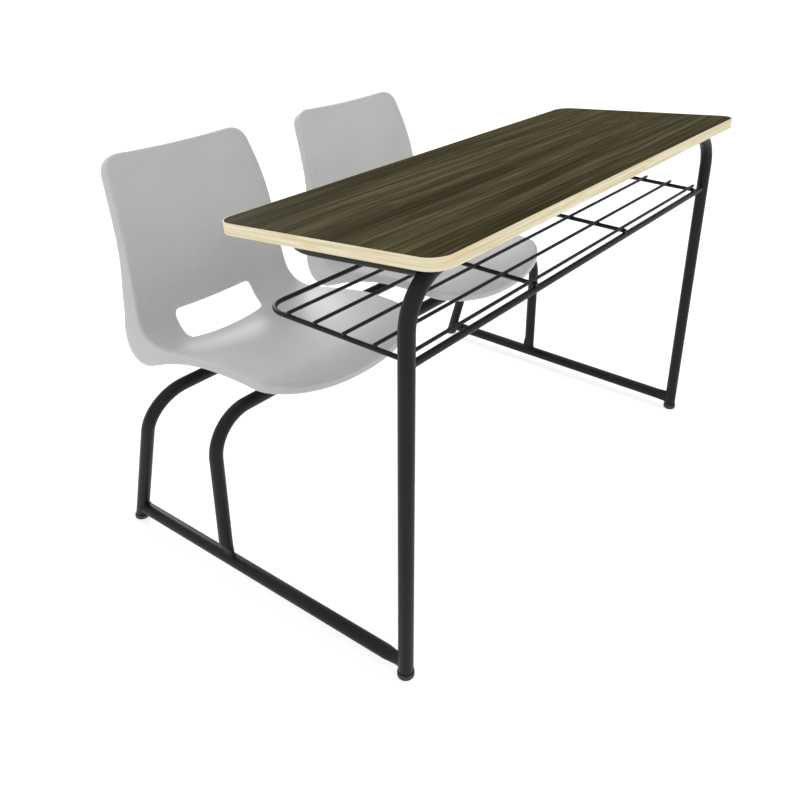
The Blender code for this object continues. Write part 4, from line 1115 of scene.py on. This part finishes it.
def rim_way(outline):
    """For points round an outline: place, way out, back of the shell, way of the rim."""
    n = len(outline)
    x, s, depth = outline.T
    nxt, prv = np.roll(outline, -1, 0), np.roll(outline, 1, 0)
    tx, ts = nxt[:, 0] - prv[:, 0], nxt[:, 1] - prv[:, 1]
    ln = np.hypot(tx, ts)
    across, along, back = frames_at(x, s)
    out = across * (ts / ln)[:, None] - along * (tx / ln)[:, None]
    out -= back * (out * back).sum(1)[:, None]
    out /= np.linalg.norm(out, axis=1)[:, None]
    ty, tz = np.interp(s, EDGE_S, RIM_T[:, 0]), np.interp(s, EDGE_S, RIM_T[:, 1])
    spread = math.radians(FLARE)
    zero = np.zeros(n)
    square = np.stack([zero, tz, -ty], 1)
    plan = EX[None] * (ts / ln)[:, None] - np.stack([zero, ty, tz], 1) * (tx / ln)[:, None]
    way = square * math.cos(spread) + plan / np.linalg.norm(plan, axis=1)[:, None] * math.sin(spread)
    way = out * (way * out).sum(1)[:, None] + back * (way * back).sum(1)[:, None]
    way /= np.linalg.norm(way, axis=1)[:, None]
    return face_points(x, s), out, back, way, depth


def fold_to(p, out, back, way, r, f):
    """Point and outward normal on the rounding, f of the way round it."""
    total = np.arccos(np.clip((out * way).sum(1), -1, 1))
    a = (total * f)[:, None]
    return p + out * r * np.sin(a) + back * r * (1 - np.cos(a)), out * np.sin(a) - back * np.cos(a)


def shell_rim():
    """Rings of the rolled rim, both skins, and its rounded free edge."""
    p8, out8, back8, way8, depth = rim_way(CAD_OUTLINE)
    q8 = fold_to(p8, out8, back8, way8, FOLD_R, 1.0)[0]
    free = q8 + way8 * np.maximum(depth - FOLD_R, 0.002)[:, None]
    p, out, back, way, _ = rim_way(OUTLINE)
    outer, inner = [], []                                # rings of (points, normals)
    # a fine crease runs inside the front lip and fades out along the sides;
    # the lip outside it leans over into the rounding
    front = np.clip((0.160 - OUTLINE[:, 1]) / 0.060, 0.0, 1.0)[:, None]
    size, wide, lean = 0.00060 * front, 0.0032, 0.38 * front
    for d in (0.0085, 0.0079, 0.0074, 0.0069, 0.0064, 0.0059, 0.0053, 0.0040, 0.0026, 0.0012):
        g = min(1.0, (0.0085 - d) / wide)
        ledge = step_in(OUTLINE, d)
        bk = frames_at(ledge[:, 0], ledge[:, 1])[2]
        tip = lean * max(0.0, 1 - d / 0.0053)
        nrm = -bk * np.cos(tip) + out * (np.sin(tip) + size * math.pi * math.sin(2 * math.pi * g) / wide)
        nrm /= np.linalg.norm(nrm, axis=1)[:, None]
        outer.append((face_points(ledge[:, 0], ledge[:, 1]) + bk * size * math.sin(math.pi * g) ** 2, nrm))
    steps = 8
    total = np.arccos(np.clip((out * way).sum(1), -1, 1))[:, None]
    for k in range(steps + 1):
        q, nrm = fold_to(p, out, back, way, ROLL_R, k / steps)
        a = lean + (total - lean) * k / steps
        outer.append((q, out * np.sin(a) - back * np.cos(a)))
        inner.append((q - nrm * SHELL_T, -nrm))
    length = np.maximum(((free - outer[-1][0]) * way).sum(1), 0.0025)[:, None]
    lip = 0.0012
    root = outer[-1][0]
    for f in (0.2, 0.4, 0.6, 0.8, 1.0):
        q = root + way * (length - lip) * f
        thick = SHELL_T * (1.0 - 0.2 * f)
        outer.append((q, nrm))
        inner.append((q - nrm * thick, -nrm))
    edge = []                                            # outer skin round to inner skin
    q, thick = outer[-1][0], SHELL_T * 0.8
    for k in range(1, 6):
        a = math.radians(90.0 * k / 6)
        edge.append((q + way * lip * math.sin(a) - nrm * lip * (1 - math.cos(a)), nrm * math.cos(a) + way * math.sin(a)))
    q2 = q - nrm * thick
    for k in range(5, 0, -1):
        a = math.radians(90.0 * k / 6)
        edge.append((q2 + way * lip * math.sin(a) + nrm * lip * (1 - math.cos(a)), way * math.sin(a) - nrm * math.cos(a)))
    return outer, inner, edge


def seat(name, cx, node):
    verts, norms, faces = [], [], []
    move = EX * cx

    def put(points, normals=None):
        first = len(verts)
        verts.extend(np.asarray(points, float) + move)
        norms.extend(np.zeros((len(points), 3)) if normals is None else np.asarray(normals, float))
        return [first + i for i in range(len(points))]
    flat, tris, loops = FRONT_SHEET
    ids = put(face_points(flat[:, 0], flat[:, 1]), -frames_at(flat[:, 0], flat[:, 1])[2])
    faces.extend(tuple(ids[i] for i in t) for t in tris)
    fl = [[ids[i] for i in l] for l in loops]
    flat, tris, loops = BACK_SHEET
    back = frames_at(flat[:, 0], flat[:, 1])[2]
    ids = put(face_points(flat[:, 0], flat[:, 1]) + back * SHELL_T, back)
    for l in loops[2:]:
        for i in l:
            norms[ids[i]] = np.zeros(3)
    faces.extend(tuple(ids[i] for i in t)[::-1] for t in tris)
    bl = [[ids[i] for i in l] for l in loops]
    # slot: both arrises rounded
    last = fl[1]
    for k in range(1, 7):
        a = math.radians(90.0 * k / 6)
        l = slot_at(LIP * (1 - math.sin(a)))
        bk = frames_at(l[:, 0], l[:, 1])[2]
        row = put(face_points(l[:, 0], l[:, 1]) + bk * LIP * (1 - math.cos(a)))
        faces.extend(band(last, row))
        last = row
    for k in range(0, 6):
        a = math.radians(90.0 * k / 6)
        l = slot_at(LIP * (1 - math.cos(a)))
        bk = frames_at(l[:, 0], l[:, 1])[2]
        row = put(face_points(l[:, 0], l[:, 1]) + bk * (SHELL_T - LIP * (1 - math.sin(a))))
        faces.extend(band(last, row))
        last = row
    faces.extend(band(last, bl[1]))
    # rim
    outer, inner, edge = shell_rim()
    a = fl[0]
    for r in outer:
        b = put(*r)
        faces.extend(band(a, b))
        a = b
    for r in edge:
        b = put(*r)
        faces.extend(band(a, b))
        a = b
    for r in inner[:0:-1]:
        b = put(*r)
        faces.extend(band(a, b))
        a = b
    faces.extend(band(a, bl[0]))
    # mounting bosses under the pan, with a filleted root
    foot = STRAP_T + GAP
    for (bx, t), loop in zip(BOSS_AXES, bl[2:]):
        n = len(loop)
        pts = np.array([verts[i] for i in loop]) - move
        c = on_strap(bx, t, foot)
        radial = pts - c
        radial -= (radial @ STRAP_N)[:, None] * STRAP_N
        rad = radial / np.linalg.norm(radial, axis=1)[:, None]
        level = (pts - STRAP_AT) @ STRAP_N - foot
        base = pts - STRAP_N * level[:, None]
        cen_r = 0.0088
        a = loop
        for f, drop in ((0.35, 0.0006), (0.70, 0.0018)):
            target = c + rad * (BOSS_R + (cen_r - BOSS_R) * f)
            row = put(target + STRAP_N * (level - drop)[:, None])
            faces.extend(band(a, row))
            a = row
        for r, h in ((cen_r, 0.0006), (cen_r - 0.0005, 0.0), (0.0036, 0.0), (PILOT_R, 0.0008), (PILOT_R, 0.0075)):
            row = put(c + rad * r + STRAP_N * h)
            faces.extend(band(a, row))
            a = row
        faces.append(tuple(a))
    return build(name, verts, faces, PLASTIC, (node,), sharp=55.0, normals=norms)


for tag, cx in SEATS:
    seat("seat_" + tag, cx, "seat_shell_" + tag)
    number = 0
    for sx in (-1.0, 1.0):
        x = cx + sx * BOSS_X
        for t in BOSS_AT:
            number += 1
            screw("seat_fixing_%s_%d" % (tag, number), "seat_screw_%s_%d" % (tag, number),
                  on_strap(x, t, -GAP - 0.0024), STRAP_N, 0.0082)
        # fillet welds along both sides of each strap, on the crowns of the tubes
        for k, (run, t0) in enumerate(((FRONT_RUN, 0.0), (REAR_RUN, None))):
            t_mid = 0.0 if t0 is not None else float(np.linalg.norm(REAR_RUN * (0, 1, 1) - FRONT_RUN * (0, 1, 1)))
            verts, faces = [], []
            for e in (-1.0, 1.0):
                rng = np.random.default_rng(int(500 + 10 * k + 3 * e + 40 * sx + 100 * cx))
                rings = []
                m = 15
                for j in range(m):
                    u = -0.0075 + 0.015 * j / (m - 1)
                    base = on_strap(x + e * (STRAP_W / 2 + 0.0003), t_mid + u, 0.0)
                    sag = TUBE_R - math.sqrt(TUBE_R ** 2 - u * u)
                    rr = 0.0017 * (1 + 0.10 * math.sin(2 * math.pi * j / 3.0) + rng.normal(0, 0.04))
                    if j in (0, m - 1):
                        rr *= 0.45
                    rings.append(ring(base - STRAP_N * sag * 0.6, EX, STRAP_N, rr, rr, 8))
                first = len(verts)
                verts.extend(p for r in rings for p in r)
                for j in range(m - 1):
                    faces.extend(band([first + j * 8 + i for i in range(8)], [first + (j + 1) * 8 + i for i in range(8)]))
                faces.append(tuple(first + i for i in range(8))[::-1])
                faces.append(tuple(first + (m - 1) * 8 + i for i in range(8)))
            build("weld_strap_%s_%s_%d" % (tag, "a" if sx < 0 else "b", k + 1), verts, faces, PAINT, sharp=80.0)

# short weld along the root of each desktop tab
for n, (x, s, dx, ds) in enumerate(tabs):
    rings = []
    m = 19
    rng = np.random.default_rng(900 + n)
    for j in range(m):
        u = -0.010 + 0.020 * j / (m - 1)
        rr = 0.0014 * (1 + 0.10 * math.sin(2 * math.pi * j / 3.0) + rng.normal(0, 0.04))
        if j in (0, m - 1):
            rr *= 0.45
        px, ps = x + dx * 0.0101 + (u if ds else 0.0), s + ds * 0.0101 + (u if dx else 0.0)
        e = EX if dx else DOWN_SLOPE
        rings.append(ring(on_top(px, ps, UNDER - 0.0025 - 0.0006), e, TOP_N, rr, rr, 8))
    verts = [p for r in rings for p in r]
    faces = []
    for j in range(m - 1):
        faces.extend(band([j * 8 + i for i in range(8)], [(j + 1) * 8 + i for i in range(8)]))
    faces.append(tuple(range(8))[::-1])
    faces.append(tuple((m - 1) * 8 + i for i in range(8)))
    build("weld_tab_%d" % (n + 1), verts, faces, PAINT, sharp=80.0)

# --------------------------------------------------------------- floor and light
size = 60.0
mesh = bpy.data.meshes.new("floor")
mesh.from_pydata([(-size, -size, 0), (size, -size, 0), (size, size, 0), (-size, size, 0)], [], [(0, 1, 2, 3)])
floor = bpy.data.objects.new("floor", mesh)
bpy.context.scene.collection.objects.link(floor)
g = Graph("floor_pale")
cloud = g.noise(g.coords(), 0.7, 2.0)
mesh.materials.append(g.finish(g.ramp(cloud, ((0.3, (0.45, 0.45, 0.45)), (0.7, (0.47, 0.47, 0.47)))), None, None,
                               Roughness=0.95, Specular_IOR_Level=0.1, Emission_Color=(1.0, 1.0, 1.0, 1.0),
                               Emission_Strength=0.68))

world = bpy.data.worlds.new("studio")
bpy.context.scene.world = world
world.use_nodes = True
bg = next(n for n in world.node_tree.nodes if n.type == "BACKGROUND")
bg.inputs["Color"].default_value = (1.0, 1.0, 1.0, 1.0)
bg.inputs["Strength"].default_value = 1.0


def area(name, place, aim, size_x, size_y, power):
    light = bpy.data.lights.new(name, "AREA")
    light.shape = "RECTANGLE"
    light.size, light.size_y = size_x, size_y
    light.energy = power
    o = bpy.data.objects.new(name, light)
    o.location = place
    way = Vector(aim) - Vector(place)
    o.rotation_euler = way.to_track_quat("-Z", "Y").to_euler()
    bpy.context.scene.collection.objects.link(o)
    return o


area("back", (1.08, 2.65, 1.82), (-0.27, 0.30, 0.32), 0.95, 2.60, 70.0)
area("left", (-3.2, -1.6, 1.8), (-0.3, 0.0, 0.45), 1.6, 1.6, 4.0)

bpy.context.scene.view_settings.view_transform = "Standard"
bpy.context.scene.view_settings.look = "None"

# ------------------------------------------------------------------------ camera
F, CX, CY = 885.6082, 451.6028, 319.0593
YAW, PITCH, ROLL = (math.radians(a) for a in (-54.9087, -25.5605, -1.5199))
EYE = np.array([-1.37803374, -0.66216654 - Y_MID, 1.16545463])
fwd = np.array([-math.sin(YAW) * math.cos(PITCH), math.cos(YAW) * math.cos(PITCH), math.sin(PITCH)])
right = np.array([math.cos(YAW), math.sin(YAW), 0.0])
down = np.cross(fwd, right)
r_ax = right * math.cos(ROLL) + down * math.sin(ROLL)
d_ax = -right * math.sin(ROLL) + down * math.cos(ROLL)
cam = bpy.data.cameras.new("camera")
cam.sensor_width = 36.0
cam.sensor_fit = "HORIZONTAL"
cam.lens = F * 36.0 / 800.0
cam.shift_x = (400.0 - CX) / 800.0
cam.shift_y = (CY - 400.0) / 800.0
cam.clip_start, cam.clip_end = 0.05, 200.0
cam.dof.use_dof = False
eye = bpy.data.objects.new("camera", cam)
eye.matrix_world = Matrix(((r_ax[0], -d_ax[0], -fwd[0], EYE[0]),
                           (r_ax[1], -d_ax[1], -fwd[1], EYE[1]),
                           (r_ax[2], -d_ax[2], -fwd[2], EYE[2]),
                           (0.0, 0.0, 0.0, 1.0)))
bpy.context.scene.collection.objects.link(eye)
bpy.context.scene.camera = eye
